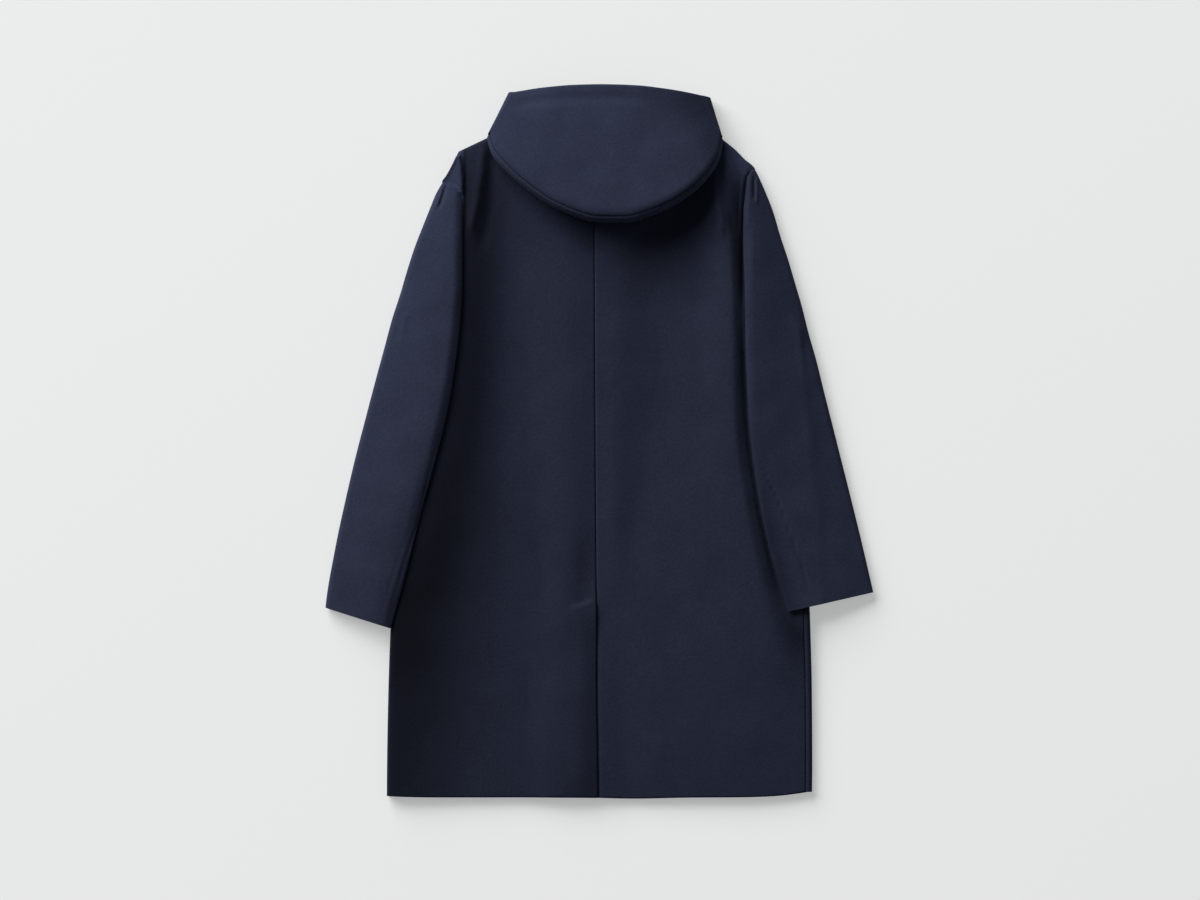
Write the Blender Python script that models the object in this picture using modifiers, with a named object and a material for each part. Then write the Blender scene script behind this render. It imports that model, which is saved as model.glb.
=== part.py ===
"""A hooded wool coat, laid face down on a table and modelled piece by piece.

World frame: +Z up from the table, +Y towards the hood, +X to the viewer's right
when looking down on the coat's back. Tables are in millimetres; everything that
reaches Blender is in metres. Every piece is one wall of cloth: an open surface,
laid out from its own table, thickened inwards by a Solidify modifier.
"""

import math
from collections import namedtuple

import bpy
from mathutils import Vector

# ---------------------------------------------------------------- driving sizes (mm)
MM = 0.001                  # metres in a millimetre
CLOTH = 2.6                 # felted wool, one layer
HEM_CLOTH = 4.0             # hem strip, where the cloth is turned up and felled
SEAM_GAP = 0.3              # space between two sewn edges
SEAM_EASE = 1.3             # each edge kept back from the middle of the left side's fold
BODY_HEIGHT = 8.4           # fronts and backs lying on each other, pressed
SLEEVE_HEIGHT = 9.0         # a sleeve pressed flat: two layers and the air between
SLEEVE_FALL = 42.0          # width over which a sleeve comes down off the body's edge
FLY_OVERLAP = 35.0          # how far each front passes the centre front
FLY_STEP = 12.0             # width over which the upper front climbs on the lower one
CLIMB_REST = 2.0            # level cloth left beside the edge that a layer climbs over
CENTRE_X = -8.0             # centre-back seam, and the centre front under it
VENT_TOP_Y = -233.0         # where the vent opens below the centre-back seam
VENT_LAP = 40.0             # width of the left back that lies on the right one's underlap
LEAST_LAP = 1.2             # the underlap's two columns where there is no underlap
VENT_STEP = 14.0            # width over which the left back climbs on the underlap
VENT_SLOPE = 0.35           # fall of the slanting tack across the vent's top
SIDE_WRAP = 2.8             # front cloth past the right side's fold, up to the seam
HOOD_ROLL = 11.0            # how far the rim's roll reaches in from its outline
HOOD_SEAM_INSET = 13.0      # crosswise seam, in from the rim
HOOD_CORNER_EASE = 2.5      # half the seam's opening at the two side folds
REST_ON_BODY = BODY_HEIGHT + SEAM_GAP
REST_ON_FRONT = 2.0 * CLOTH + SEAM_GAP  # top of a back that is pressed on to a front
SIDE_RADIUS = BODY_HEIGHT / 2
CENTRING = (-1.35, -0.8)    # shift in x and y that centres the coat on the origin

# ---------------------------------------------------------------- outlines (mm)
# A body row runs from the centre to the outer edge. fold is 1 where the side is
# folded round (below the underarm) and 0 along the armhole and the shoulder;
# seam_in is how far in from the edge the back's side seam lies; underlap is how
# far the right back reaches under the left back at the vent.
BodyRow = namedtuple("BodyRow", "centre_y edge_x edge_y fold seam_in underlap")

LEFT_ROWS = [
    BodyRow(-523.2, -310.8, -521.0, 1.0, 0.0, 0.0),
    BodyRow(-519.0, -310.8, -516.8, 1.0, 0.0, 0.0),
    BodyRow(-483.2, -310.5, -481.0, 1.0, 0.0, 0.0),
    BodyRow(-475.0, -310.3, -473.0, 1.0, 0.0, 0.0),
    BodyRow(-370.0, -308.5, -370.0, 1.0, 0.0, 0.0),
    BodyRow(-264.0, -304.8, -266.0, 1.0, 0.0, 0.0),
    BodyRow(-247.0, -304.0, -249.0, 1.0, 0.0, 0.0),
    BodyRow(-233.0, -303.0, -235.0, 1.0, 0.0, 0.0),
    BodyRow(-218.0, -302.2, -220.0, 1.0, 0.0, 0.0),
    BodyRow(-110.0, -296.0, -110.0, 1.0, 0.0, 0.0),
    BodyRow(0.0, -289.0, 0.0, 1.0, 0.0, 0.0),
    BodyRow(96.0, -284.0, 100.0, 0.7, 0.0, 0.0),
    BodyRow(116.0, -282.6, 122.0, 0.4, 0.0, 0.0),
    BodyRow(132.0, -281.5, 141.0, 0.0, 0.0, 0.0),
    BodyRow(160.0, -243.0, 180.0, 0.0, 0.0, 0.0),
    BodyRow(205.0, -216.0, 235.0, 0.0, 0.0, 0.0),
    BodyRow(235.0, -199.5, 266.0, 0.0, 0.0, 0.0),
    BodyRow(265.0, -198.3, 300.0, 0.0, 0.0, 0.0),
    BodyRow(305.0, -198.3, 345.0, 0.0, 0.0, 0.0),
    BodyRow(322.0, -198.3, 362.6, 0.0, 0.0, 0.0),
    BodyRow(338.0, -229.6, 379.8, 0.0, 0.0, 0.0),
    BodyRow(346.0, -224.0, 388.0, 0.0, 0.0, 0.0),
    BodyRow(358.0, -215.0, 404.0, 0.0, 0.0, 0.0),
]

RIGHT_ROWS = [
    BodyRow(-523.2, 313.6, -508.0, 1.0, 7.3, 40.0),
    BodyRow(-519.0, 313.8, -503.5, 1.0, 7.3, 40.0),
    BodyRow(-483.2, 314.0, -468.0, 1.0, 7.3, 40.0),
    BodyRow(-475.0, 314.0, -460.0, 1.0, 7.3, 40.0),
    BodyRow(-370.0, 313.4, -370.0, 1.0, 7.3, 40.0),
    BodyRow(-264.0, 310.8, -266.0, 1.0, 7.3, 40.0),
    BodyRow(-247.0, 310.2, -249.0, 1.0, 7.3, 14.0),
    BodyRow(-233.0, 309.4, -235.0, 1.0, 7.3, 0.0),
    BodyRow(-218.0, 308.4, -220.0, 1.0, 7.3, 0.0),
    BodyRow(-110.0, 303.0, -110.0, 1.0, 7.3, 0.0),
    BodyRow(0.0, 297.0, 0.0, 1.0, 7.3, 0.0),
    BodyRow(88.0, 292.0, 92.0, 1.0, 7.3, 0.0),
    BodyRow(98.0, 291.4, 102.0, 1.0, 9.0, 0.0),
    BodyRow(116.0, 290.2, 122.0, 0.25, 9.0, 0.0),
    BodyRow(132.0, 289.0, 141.0, 0.0, 0.0, 0.0),
    BodyRow(160.0, 252.0, 180.0, 0.0, 0.0, 0.0),
    BodyRow(205.0, 224.0, 235.0, 0.0, 0.0, 0.0),
    BodyRow(235.0, 211.5, 266.0, 0.0, 0.0, 0.0),
    BodyRow(265.0, 210.0, 300.0, 0.0, 0.0, 0.0),
    BodyRow(305.0, 213.0, 345.0, 0.0, 0.0, 0.0),
    BodyRow(322.0, 215.2, 366.0, 0.0, 0.0, 0.0),
    BodyRow(338.0, 217.4, 386.0, 0.0, 0.0, 0.0),
    BodyRow(348.0, 230.4, 397.6, 0.0, 0.0, 0.0),
    BodyRow(358.0, 215.0, 413.0, 0.0, 0.0, 0.0),
]

# The top edge of a panel, from its centre along the neck to the end of the
# shoulder; column is the panel's column that ends at the point.
EdgePoint = namedtuple("EdgePoint", "x y column")

BACK_TOP_LEFT = [
    EdgePoint(-8.2, 442.0, 0),
    EdgePoint(-35.0, 446.0, 2),
    EdgePoint(-63.0, 454.0, 4),
    EdgePoint(-86.0, 466.0, 5),
    EdgePoint(-125.0, 457.0, 6),
    EdgePoint(-164.0, 444.5, 7),
    EdgePoint(-203.0, 425.5, 13),
]
BACK_TOP_RIGHT = [
    EdgePoint(-7.8, 442.0, 0),
    EdgePoint(-4.2, 442.0, 2),
    EdgePoint(30.0, 444.0, 4),
    EdgePoint(70.0, 453.0, 6),
    EdgePoint(96.0, 466.0, 7),
    EdgePoint(140.0, 456.0, 8),
    EdgePoint(183.0, 442.0, 9),
    EdgePoint(200.6, 428.0, 12),
]
FRONT_TOP_LEFT = [
    EdgePoint(27.0, 384.0, 0),
    EdgePoint(-8.0, 384.0, 1),
    EdgePoint(-43.0, 396.5, 2),
    EdgePoint(-75.5, 429.0, 3),
    EdgePoint(-86.0, 466.0, 4),
    EdgePoint(-125.0, 457.0, 5),
    EdgePoint(-164.0, 444.5, 6),
    EdgePoint(-203.0, 425.5, 12),
]
FRONT_TOP_RIGHT = [
    EdgePoint(-43.0, 384.0, 0),
    EdgePoint(-8.0, 384.0, 1),
    EdgePoint(29.0, 388.0, 2),
    EdgePoint(50.0, 396.5, 3),
    EdgePoint(84.0, 429.0, 4),
    EdgePoint(96.0, 466.0, 5),
    EdgePoint(140.0, 456.0, 6),
    EdgePoint(183.0, 442.0, 7),
    EdgePoint(200.6, 428.0, 15),
]

# A sleeve ring runs from the fold next to the body to the fold away from it;
# lift is how far that inner fold has climbed on the body, over_body how far the
# ring lies on the body before it comes down to the table.
SleeveRing = namedtuple("SleeveRing", "inner_x inner_y outer_x outer_y lift over_body")

SLEEVE_LEFT = [
    SleeveRing(-199.0, 362.0, -230.2, 379.0, 0.0, 0.0),
    SleeveRing(-199.0, 346.0, -239.0, 362.0, 0.12, 0.0),
    SleeveRing(-199.0, 325.0, -247.6, 341.0, 0.40, 0.0),
    SleeveRing(-199.0, 299.0, -257.6, 316.0, 0.80, 0.0),
    SleeveRing(-199.0, 266.0, -270.0, 284.0, 1.0, 13.0),
    SleeveRing(-199.0, 229.0, -281.0, 250.0, 1.0, 35.0),
    SleeveRing(-201.0, 190.0, -291.0, 216.0, 1.0, 56.0),
    SleeveRing(-205.0, 148.0, -303.0, 179.0, 1.0, 82.0),
    SleeveRing(-211.0, 105.0, -314.0, 138.0, 1.0, 80.0),
    SleeveRing(-218.0, 60.0, -326.0, 94.0, 1.0, 72.0),
    SleeveRing(-233.0, -6.0, -343.4, 28.0, 1.0, 60.0),
    SleeveRing(-246.0, -54.0, -355.9, -20.0, 1.0, 50.0),
    SleeveRing(-259.0, -101.0, -367.3, -68.0, 1.0, 40.0),
    SleeveRing(-281.0, -190.0, -386.7, -158.0, 1.0, 22.0),
    SleeveRing(-302.6, -269.0, -400.4, -238.0, 1.0, 6.0),
    SleeveRing(-303.6, -273.0, -400.8, -242.6, 1.0, 5.0),
]

SLEEVE_RIGHT = [
    SleeveRing(218.3, 385.0, 231.4, 396.6, 0.0, 0.0),
    SleeveRing(216.1, 362.0, 245.0, 366.0, 0.12, 0.0),
    SleeveRing(213.3, 338.0, 256.0, 338.0, 0.40, 0.0),
    SleeveRing(210.8, 304.0, 267.0, 301.0, 0.80, 0.0),
    SleeveRing(211.0, 266.0, 278.6, 266.0, 1.0, 12.0),
    SleeveRing(213.6, 229.0, 288.0, 234.0, 1.0, 30.0),
    SleeveRing(215.0, 190.0, 298.0, 200.0, 1.0, 54.0),
    SleeveRing(215.4, 148.0, 308.6, 158.0, 1.0, 80.0),
    SleeveRing(216.4, 105.0, 319.7, 119.0, 1.0, 80.0),
    SleeveRing(217.6, 55.0, 330.8, 74.0, 1.0, 81.0),
    SleeveRing(224.0, -6.0, 345.0, 18.0, 1.0, 82.0),
    SleeveRing(232.0, -54.0, 356.6, -28.0, 1.0, 77.0),
    SleeveRing(241.0, -105.0, 369.2, -78.0, 1.0, 77.0),
    SleeveRing(259.5, -182.0, 387.6, -153.0, 1.0, 62.0),
    SleeveRing(276.0, -246.0, 402.6, -218.0, 1.0, 48.0),
    SleeveRing(277.0, -250.0, 403.5, -222.0, 1.0, 47.0),
]

# A hood meridian runs from the back neck down to the rim and up again to the lip,
# the middle of the face edge; the tops are the cloth's heights along its way.
Meridian = namedtuple("Meridian", "neck_x neck_y rim_x rim_y lip_x lip_y rim_top mid_top lip_top")

HOOD_MERIDIANS = [
    Meridian(-83.0, 462.0, -164.0, 443.0, -122.5, 508.5, 23.0, 24.0, 17.0),
    Meridian(-72.0, 456.0, -156.5, 420.0, -108.0, 514.0, 26.0, 29.0, 21.0),
    Meridian(-58.0, 450.0, -137.0, 397.5, -88.0, 519.0, 29.0, 34.0, 25.0),
    Meridian(-42.0, 445.0, -101.0, 368.0, -62.0, 522.5, 31.0, 38.0, 29.0),
    Meridian(-24.0, 441.0, -57.0, 342.0, -34.0, 524.3, 32.0, 40.5, 32.0),
    Meridian(-2.0, 439.0, 2.0, 324.0, 0.0, 524.8, 33.0, 41.5, 33.0),
    Meridian(16.0, 440.0, 38.0, 323.6, 26.0, 524.6, 33.0, 41.5, 33.0),
    Meridian(36.0, 442.0, 80.0, 335.0, 58.0, 522.8, 34.0, 41.5, 32.0),
    Meridian(54.0, 446.0, 121.0, 355.0, 88.0, 519.5, 34.5, 40.0, 30.5),
    Meridian(70.0, 451.0, 157.0, 387.0, 116.0, 515.0, 33.5, 37.5, 27.5),
    Meridian(84.0, 457.0, 177.6, 418.0, 136.0, 510.0, 31.0, 32.5, 23.0),
    Meridian(93.0, 462.0, 183.0, 440.0, 152.5, 504.5, 27.0, 27.5, 19.0),
]

# The hood's side folds, at the rear (on the shoulder) and at the mouth.
FoldLine = namedtuple("FoldLine", "rear_x rear_y mouth_x mouth_y")

LEFT_FOLD = FoldLine(-163.2, 449.4, -134.5, 507.0)
RIGHT_FOLD = FoldLine(182.4, 446.8, 165.0, 502.0)

# The hood front's two ends, lying along the shoulder and the front neckline:
# its sewn edge and its face edge, from the side fold in to the centre front.
HoodEnd = namedtuple("HoodEnd", "sewn_x sewn_y sewn_z face_x face_y")

LEFT_END = [
    HoodEnd(-146.0, 456.2, REST_ON_BODY, -120.0, 505.0),
    HoodEnd(-114.0, 461.6, REST_ON_BODY, -103.0, 499.0),
    HoodEnd(-96.0, 469.0, REST_ON_BODY, -92.0, 494.0),
    HoodEnd(-84.0, 471.0, 0.0, -80.0, 486.0),
    HoodEnd(-74.6, 429.9, 0.0, -54.0, 447.0),
    HoodEnd(-42.5, 397.1, 0.0, -30.0, 418.0),
    HoodEnd(-8.6, 384.8, 0.0, -8.6, 404.0),
]
RIGHT_END = [
    HoodEnd(165.0, 454.6, REST_ON_BODY, 150.0, 500.0),
    HoodEnd(126.0, 461.4, REST_ON_BODY, 118.0, 497.0),
    HoodEnd(106.0, 469.0, REST_ON_BODY, 102.0, 493.0),
    HoodEnd(94.0, 471.0, 0.0, 86.0, 486.0),
    HoodEnd(83.2, 429.9, 0.0, 60.0, 447.0),
    HoodEnd(49.6, 397.1, 0.0, 34.0, 418.0),
    HoodEnd(28.7, 388.7, 0.0, 16.0, 409.0),
    HoodEnd(-7.4, 384.8, 0.0, -7.4, 404.0),
]

# Soft folds of the back, raised where the cloth has air under it.
SoftFold = namedtuple("SoftFold", "x y half_width half_length height")

BACK_FOLDS = [
    SoftFold(-50.0, 60.0, 60.0, 255.0, 3.0),
    SoftFold(38.0, 40.0, 46.0, 235.0, 2.5),
    SoftFold(148.0, -40.0, 60.0, 260.0, 2.5),
]

HEM_ROWS = 3                # rows of a body table that lie in the turned-up hem

# ---------------------------------------------------------------- colours
WOOL_BACK = (0.020, 0.024, 0.046)
WOOL_FRONT = (0.019, 0.022, 0.043)
WOOL_SLEEVE = (0.024, 0.029, 0.055)
WOOL_HOOD = (0.026, 0.031, 0.060)
WOOL_ROUGHNESS = 0.92


# ---------------------------------------------------------------- small maths
def smooth(value):
    """0 below 0, 1 above 1, and an even S between."""
    value = min(max(value, 0.0), 1.0)
    return value * value * (3.0 - 2.0 * value)


def mix(start, end, share):
    """A number part of the way from start to end."""
    return start + (end - start) * share


def top_point(edge, column):
    """Where a panel's column ends on its top edge."""
    for first, second in zip(edge, edge[1:]):
        if column <= second.column:
            share = (column - first.column) / (second.column - first.column)
            return mix(first.x, second.x, share), mix(first.y, second.y, share)
    return edge[-1].x, edge[-1].y


def turned(arc, fold):
    """How far cloth reaches outwards and upwards after `arc` mm of a side fold."""
    if fold == 0.0:
        return arc, 0.0
    radius = SIDE_RADIUS / fold
    angle = min(arc / radius, math.pi)
    beyond = arc - angle * radius
    return radius * math.sin(angle) - beyond, radius * (1.0 - math.cos(angle))


# ---------------------------------------------------------------- making a piece
def cloth_piece(name, rows, colour, ring=False, flip=False, hem=None):
    """A wall of cloth whose outer side is a grid of points, row by row.

    ring joins each row's end to its start; flip turns the outer side round;
    hem gives the columns, from and to, over which the first rows are turned up.
    """
    width = len(rows[0])
    points = [Vector(point) * MM for row in rows for point in row]
    faces = []
    for row in range(len(rows) - 1):
        for column in range(width if ring else width - 1):
            after = (column + 1) % width
            start, end = row * width, (row + 1) * width
            face = (start + column, start + after, end + after, end + column)
            faces.append(face[::-1] if flip else face)
    mesh = bpy.data.meshes.new(name)
    mesh.from_pydata(points, [], faces)
    mesh.shade_smooth()

    piece = bpy.data.objects.new(name, mesh)
    coat.objects.link(piece)
    piece.parent = table_top
    piece.data.materials.append(wool(name, colour))

    wall = piece.modifiers.new("cloth wall", "SOLIDIFY")
    wall.offset = -1.0
    wall.use_even_offset = True
    wall.use_quality_normals = True
    wall.thickness = CLOTH * MM
    if hem:
        turned_up = piece.vertex_groups.new(name="turned-up hem")
        turned_up.add([row * width + column for row in range(HEM_ROWS)
                       for column in range(*hem)], 1.0, "REPLACE")
        wall.thickness = HEM_CLOTH * MM
        wall.vertex_group = turned_up.name
        wall.thickness_vertex_group = CLOTH / HEM_CLOTH
    return piece


def wool(name, colour):
    """Plain felted wool in one colour."""
    material = bpy.data.materials.new("wool " + name)
    material.use_nodes = True
    shader = material.node_tree.nodes["Principled BSDF"]
    shader.inputs["Base Color"].default_value = (*colour, 1.0)
    shader.inputs["Roughness"].default_value = WOOL_ROUGHNESS
    shader.inputs["Metallic"].default_value = 0.0
    return material


# ---------------------------------------------------------------- body panels
FLAT_SHARES = (0.0, 0.18, 0.38, 0.58, 0.78, 0.94, 1.0)
SHOULDER_SHARES = (0.55, 0.9, 1.0)      # rows between the last body row and the top edge
SHOULDER_DROPS = (0.0, 0.25, 1.0)       # how far the back comes down to the front there
LATE_RISE = 8                           # a row below the underarm bends close to its edge


def panel_rows(rows, centre_x, steps, top_edge, roll, side, on_top, height):
    """Lay out a front or a back from its centre edge to its side.

    steps are columns near the centre, in mm from it; roll lists the lengths
    along the side fold; side is -1 on the left and 1 on the right; on_top is
    True for a back, which turns down at the fold; height gives z at x, y.
    """
    grid, plans, folds, rises = [], [], [], []
    for row in rows:
        edge_x = row.edge_x - (side * row.seam_in if on_top else 0.0)
        reach = max((turned(arc, row.fold)[0] for arc in roll), default=0.0)
        flat_end = edge_x - side * reach
        first_share = centre_x + side * steps[-1]
        columns = [centre_x + side * step for step in steps[:-1]]
        columns += [mix(first_share, flat_end, share) for share in FLAT_SHARES]
        if on_top and side > 0:
            lap = max(row.underlap, LEAST_LAP)
            columns[:1] = [centre_x - row.underlap, centre_x - row.underlap + lap / 2,
                           centre_x - row.underlap + lap]
        power = LATE_RISE if row.fold == 1.0 else 1
        shares = [max((x - centre_x) / (flat_end - centre_x), 0.0) ** power for x in columns]
        plans.append([(x, mix(row.centre_y, row.edge_y, share))
                      for x, share in zip(columns, shares)])
        folds.append(row.fold)
    for plan, fold in zip(plans, folds):
        base_x, base_y = plan[-1]
        outs, ups = zip(*(turned(arc, fold) for arc in roll)) if roll else ((), ())
        plan.extend((base_x + side * out, base_y) for out in outs)
        rises.append([0.0] * (len(plan) - len(roll)) + [-up if on_top else up for up in ups])
    last = plans[-1]
    top = [top_point(top_edge, column) for column in range(len(last))]
    for share in SHOULDER_SHARES:
        plans.append([(mix(start[0], end[0], share), mix(start[1], end[1], share))
                      for start, end in zip(last, top)])
        rises.append([0.0] * len(last))
    drops = [0.0] * len(rows) + list(SHOULDER_DROPS)
    for plan, rise, drop in zip(plans, rises, drops):
        lower = drop * (BODY_HEIGHT - REST_ON_FRONT) if on_top else 0.0
        base = len(plan) - len(roll) - 1
        levels = [height(x, y) - lower for x, y in plan[:base + 1]]
        levels += [levels[-1]] * len(roll)
        grid.append([(x, y, level + up) for (x, y), level, up in zip(plan, levels, rise)])
    return grid


def back_height(x, y):
    """Top of the back: pressed flat, with a few soft folds."""
    height = BODY_HEIGHT
    for fold in BACK_FOLDS:
        across = 1.0 - abs(x - fold.x) / fold.half_width
        along = 1.0 - abs(y - fold.y) / fold.half_length
        height += fold.height * smooth(across) * smooth(along)
    return height


def lapped_height(x, y):
    """Top of the left back, which lies over the underlap below the vent's top."""
    across = smooth((x - (CENTRE_X - VENT_LAP - VENT_STEP)) / (VENT_STEP - CLIMB_REST))
    tack_y = VENT_TOP_Y + VENT_SLOPE * (x - CENTRE_X)
    along = smooth((tack_y + VENT_STEP - y) / VENT_STEP)
    return back_height(x, y) + (CLOTH + SEAM_GAP) * across * along


def table_height(x, y):
    """Underside of the lower front."""
    return 0.0


def fly_height(x, y):
    """Underside of the upper front, which climbs on the lower one's edge."""
    lower_edge = CENTRE_X + FLY_OVERLAP
    return (CLOTH + SEAM_GAP) * smooth((lower_edge + CLIMB_REST + FLY_STEP - x) / FLY_STEP)


# Lengths along a side fold: a quarter round to a seam on the fold, or half round
# to a seam on the back.
QUARTER = SIDE_RADIUS * math.pi / 2
QUARTER_ROLL = [QUARTER * 0.36, QUARTER * 0.68, QUARTER - SEAM_EASE]
WRAP_ROLL = [QUARTER * share for share in (0.5, 1.0, 1.5, 2.0)]
WRAP_ROLL.append(QUARTER * 2.0 + SIDE_WRAP)

# Columns near the centre, in mm from each panel's centre edge.
CLIMB_FOOT = 2.0 * FLY_OVERLAP + CLIMB_REST
UPPER_STEPS = (0.0, FLY_OVERLAP, CLIMB_FOOT, CLIMB_FOOT + FLY_STEP, CLIMB_FOOT + 53.0)
LOWER_STEPS = (0.0, FLY_OVERLAP, 2.0 * FLY_OVERLAP, 3.0 * FLY_OVERLAP)
BACK_STEPS = (0.0, 14.0, 28.0, VENT_LAP + 1.0, VENT_LAP + VENT_STEP)
UNDERLAP_COLUMNS = 2        # the right back's columns beyond its centre edge


def hem_columns(steps, beyond=0):
    """Columns, from and to, that lie flat in the turned-up hem."""
    start = beyond + len(steps) - 1
    return start, start + len(FLAT_SHARES) - 1


def body_panels():
    """Two fronts on the table and two backs on them, each with its turned-up hem."""
    left_front = panel_rows(LEFT_ROWS, CENTRE_X + FLY_OVERLAP, LOWER_STEPS,
                            FRONT_TOP_LEFT, QUARTER_ROLL, -1, False, table_height)
    cloth_piece("front_left", left_front, WOOL_FRONT, hem=hem_columns(LOWER_STEPS))

    right_front = panel_rows(RIGHT_ROWS, CENTRE_X - FLY_OVERLAP, UPPER_STEPS,
                             FRONT_TOP_RIGHT, WRAP_ROLL, 1, False, fly_height)
    cloth_piece("front_right", right_front, WOOL_FRONT, flip=True,
                hem=hem_columns(UPPER_STEPS))

    left_back = panel_rows(LEFT_ROWS, CENTRE_X - SEAM_GAP / 2, BACK_STEPS,
                           BACK_TOP_LEFT, QUARTER_ROLL, -1, True, lapped_height)
    cloth_piece("back_left", left_back, WOOL_BACK, flip=True, hem=hem_columns(BACK_STEPS))

    right_back = panel_rows(RIGHT_ROWS, CENTRE_X + SEAM_GAP / 2, BACK_STEPS,
                            BACK_TOP_RIGHT, [], 1, True, back_height)
    cloth_piece("back_right", right_back, WOOL_BACK,
                hem=hem_columns(BACK_STEPS, UNDERLAP_COLUMNS))


# ---------------------------------------------------------------- sleeves
TOP_SHARES = (0.0, 0.12, 0.28, 0.46, 0.64, 0.82, 1.0)          # out along a sleeve's top
UNDER_SHARES = (1.0, 0.86, 0.68, 0.5, 0.32, 0.12, 0.0)         # and back underneath
EDGE_TURNS = tuple(math.radians(turn) for turn in (36, 72, 108, 144))


def sleeve_rings(rings):
    """Flattened rings of a sleeve, each over the body at its inner part."""
    radius = SLEEVE_HEIGHT / 2
    grid = []
    for ring in rings:
        inner = Vector((ring.inner_x, ring.inner_y))
        across = Vector((ring.outer_x, ring.outer_y)) - inner
        width = across.length
        across.normalize()
        flat = width - 2.0 * radius
        section = [(radius + flat * share, SLEEVE_HEIGHT) for share in TOP_SHARES]
        section += [(width - radius + radius * math.sin(turn), radius + radius * math.cos(turn))
                    for turn in EDGE_TURNS]
        section += [(radius + flat * share, 0.0) for share in UNDER_SHARES]
        section += [(radius - radius * math.sin(turn), radius - radius * math.cos(turn))
                    for turn in EDGE_TURNS]
        points = []
        for offset, z in section:
            fall = smooth((offset - ring.over_body) / SLEEVE_FALL)
            plan = inner + across * offset
            points.append((plan.x, plan.y, z + REST_ON_BODY * ring.lift * (1.0 - fall)))
        grid.append(points)
    return grid


# ---------------------------------------------------------------- hood
NECK_SHARES = (0.0, 0.35, 0.7, 1.0)             # from the neck seam to the rim's roll
RIM_TURNS = (30, 60, 90, 120, 150, 180)         # round the rim, in degrees
FOLD_TURNS = (30, 60, 90, 120, 150)             # round a side fold, in degrees
LENS_SHARES = (0.0, 0.12, 0.28, 0.46, 0.64, 0.8, 0.92, 1.0)     # crosswise seam to lip
LEAVE_RATE = 3.0                                # how soon the underside leaves the shoulder


def hood_roll(low, high, turn):
    """Inward reach and height of the rim's roll at a turn, 0 low and 180 high."""
    angle = math.radians(turn)
    middle, radius = (low + high) / 2, (high - low) / 2
    return HOOD_ROLL * (1.0 - math.sin(angle)), middle - radius * math.cos(angle)


def hood_back_grid():
    """Down the back from the neck, round the rim and up to the crosswise seam."""
    grid = []
    for meridian in HOOD_MERIDIANS:
        neck = Vector((meridian.neck_x, meridian.neck_y))
        rim = Vector((meridian.rim_x, meridian.rim_y))
        inward = inward_at(meridian)
        roll_start = rim + inward * HOOD_ROLL
        points = []
        for share in NECK_SHARES:
            plan = neck.lerp(roll_start, share)
            points.append((plan.x, plan.y, REST_ON_BODY))
        for turn in RIM_TURNS:
            reach, z = hood_roll(REST_ON_BODY, meridian.rim_top, turn)
            plan = rim + inward * reach
            points.append((plan.x, plan.y, z))
        seam = seam_point(meridian, -1)
        points.append((seam.x, seam.y, meridian.rim_top))
        grid.append(points)
    return grid


def inward_at(meridian):
    """The direction in plan from a meridian's rim towards its lip."""
    inward = Vector((meridian.lip_x - meridian.rim_x, meridian.lip_y - meridian.rim_y))
    return inward.normalized()


def seam_point(meridian, beyond):
    """The crosswise seam's edge: -1 on the hood back, 1 on the hood front."""
    at_side = meridian in (HOOD_MERIDIANS[0], HOOD_MERIDIANS[-1])
    ease = HOOD_CORNER_EASE if at_side else SEAM_GAP / 2
    rim = Vector((meridian.rim_x, meridian.rim_y))
    return rim + inward_at(meridian) * (HOOD_SEAM_INSET + beyond * ease)


def crown_height(meridian, share):
    """Height of the hood from the crosswise seam (0) to the lip (1)."""
    swell = meridian.mid_top - (meridian.rim_top + meridian.lip_top) / 2
    return mix(meridian.rim_top, meridian.lip_top, share) + swell * math.sin(math.pi * share)


def hood_end(ends, fold, meridian):
    """Columns of one end of the hood front: round the side fold, in to the centre."""
    columns = []
    for turn in FOLD_TURNS:
        angle = math.radians(turn)
        column = []
        for share in LENS_SHARES:
            edge = Vector((mix(fold.rear_x, fold.mouth_x, share),
                           mix(fold.rear_y, fold.mouth_y, share)))
            start = lens_point(meridian, share)
            inset = (Vector(start[:2]) - edge) * (1.0 - math.sin(angle))
            low = REST_ON_BODY * (1.0 - leaving(share))
            middle, radius = (low + start[2]) / 2, (start[2] - low) / 2
            column.append((edge.x + inset.x, edge.y + inset.y, middle + radius * math.cos(angle)))
        columns.append(column)
    for end in ends:
        column = []
        for share in LENS_SHARES:
            x = mix(end.sewn_x, end.face_x, share)
            y = mix(end.sewn_y, end.face_y, share)
            column.append((x, y, end.sewn_z * (1.0 - leaving(share))))
        columns.append(column)
    return columns


def leaving(share):
    """How far the hood front's underside has come down from the shoulder."""
    return smooth((share - LENS_SHARES[1]) * LEAVE_RATE)


def lens_point(meridian, share):
    """A point of the hood front between the crosswise seam and the lip."""
    lip = Vector((meridian.lip_x, meridian.lip_y))
    plan = seam_point(meridian, 1).lerp(lip, share)
    return (plan.x, plan.y, crown_height(meridian, share))


def hood():
    """The hood front's band and the hood back's bowl."""
    left = hood_end(LEFT_END, LEFT_FOLD, HOOD_MERIDIANS[0])
    lens = [[lens_point(meridian, share) for share in LENS_SHARES]
            for meridian in HOOD_MERIDIANS]
    right = hood_end(RIGHT_END, RIGHT_FOLD, HOOD_MERIDIANS[-1])
    cloth_piece("hood_front", left[::-1] + lens + right, WOOL_HOOD, flip=True)
    cloth_piece("hood_back", hood_back_grid(), WOOL_HOOD, flip=True)


# ---------------------------------------------------------------- the coat
for leftover in list(bpy.data.objects):
    bpy.data.objects.remove(leftover)

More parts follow.
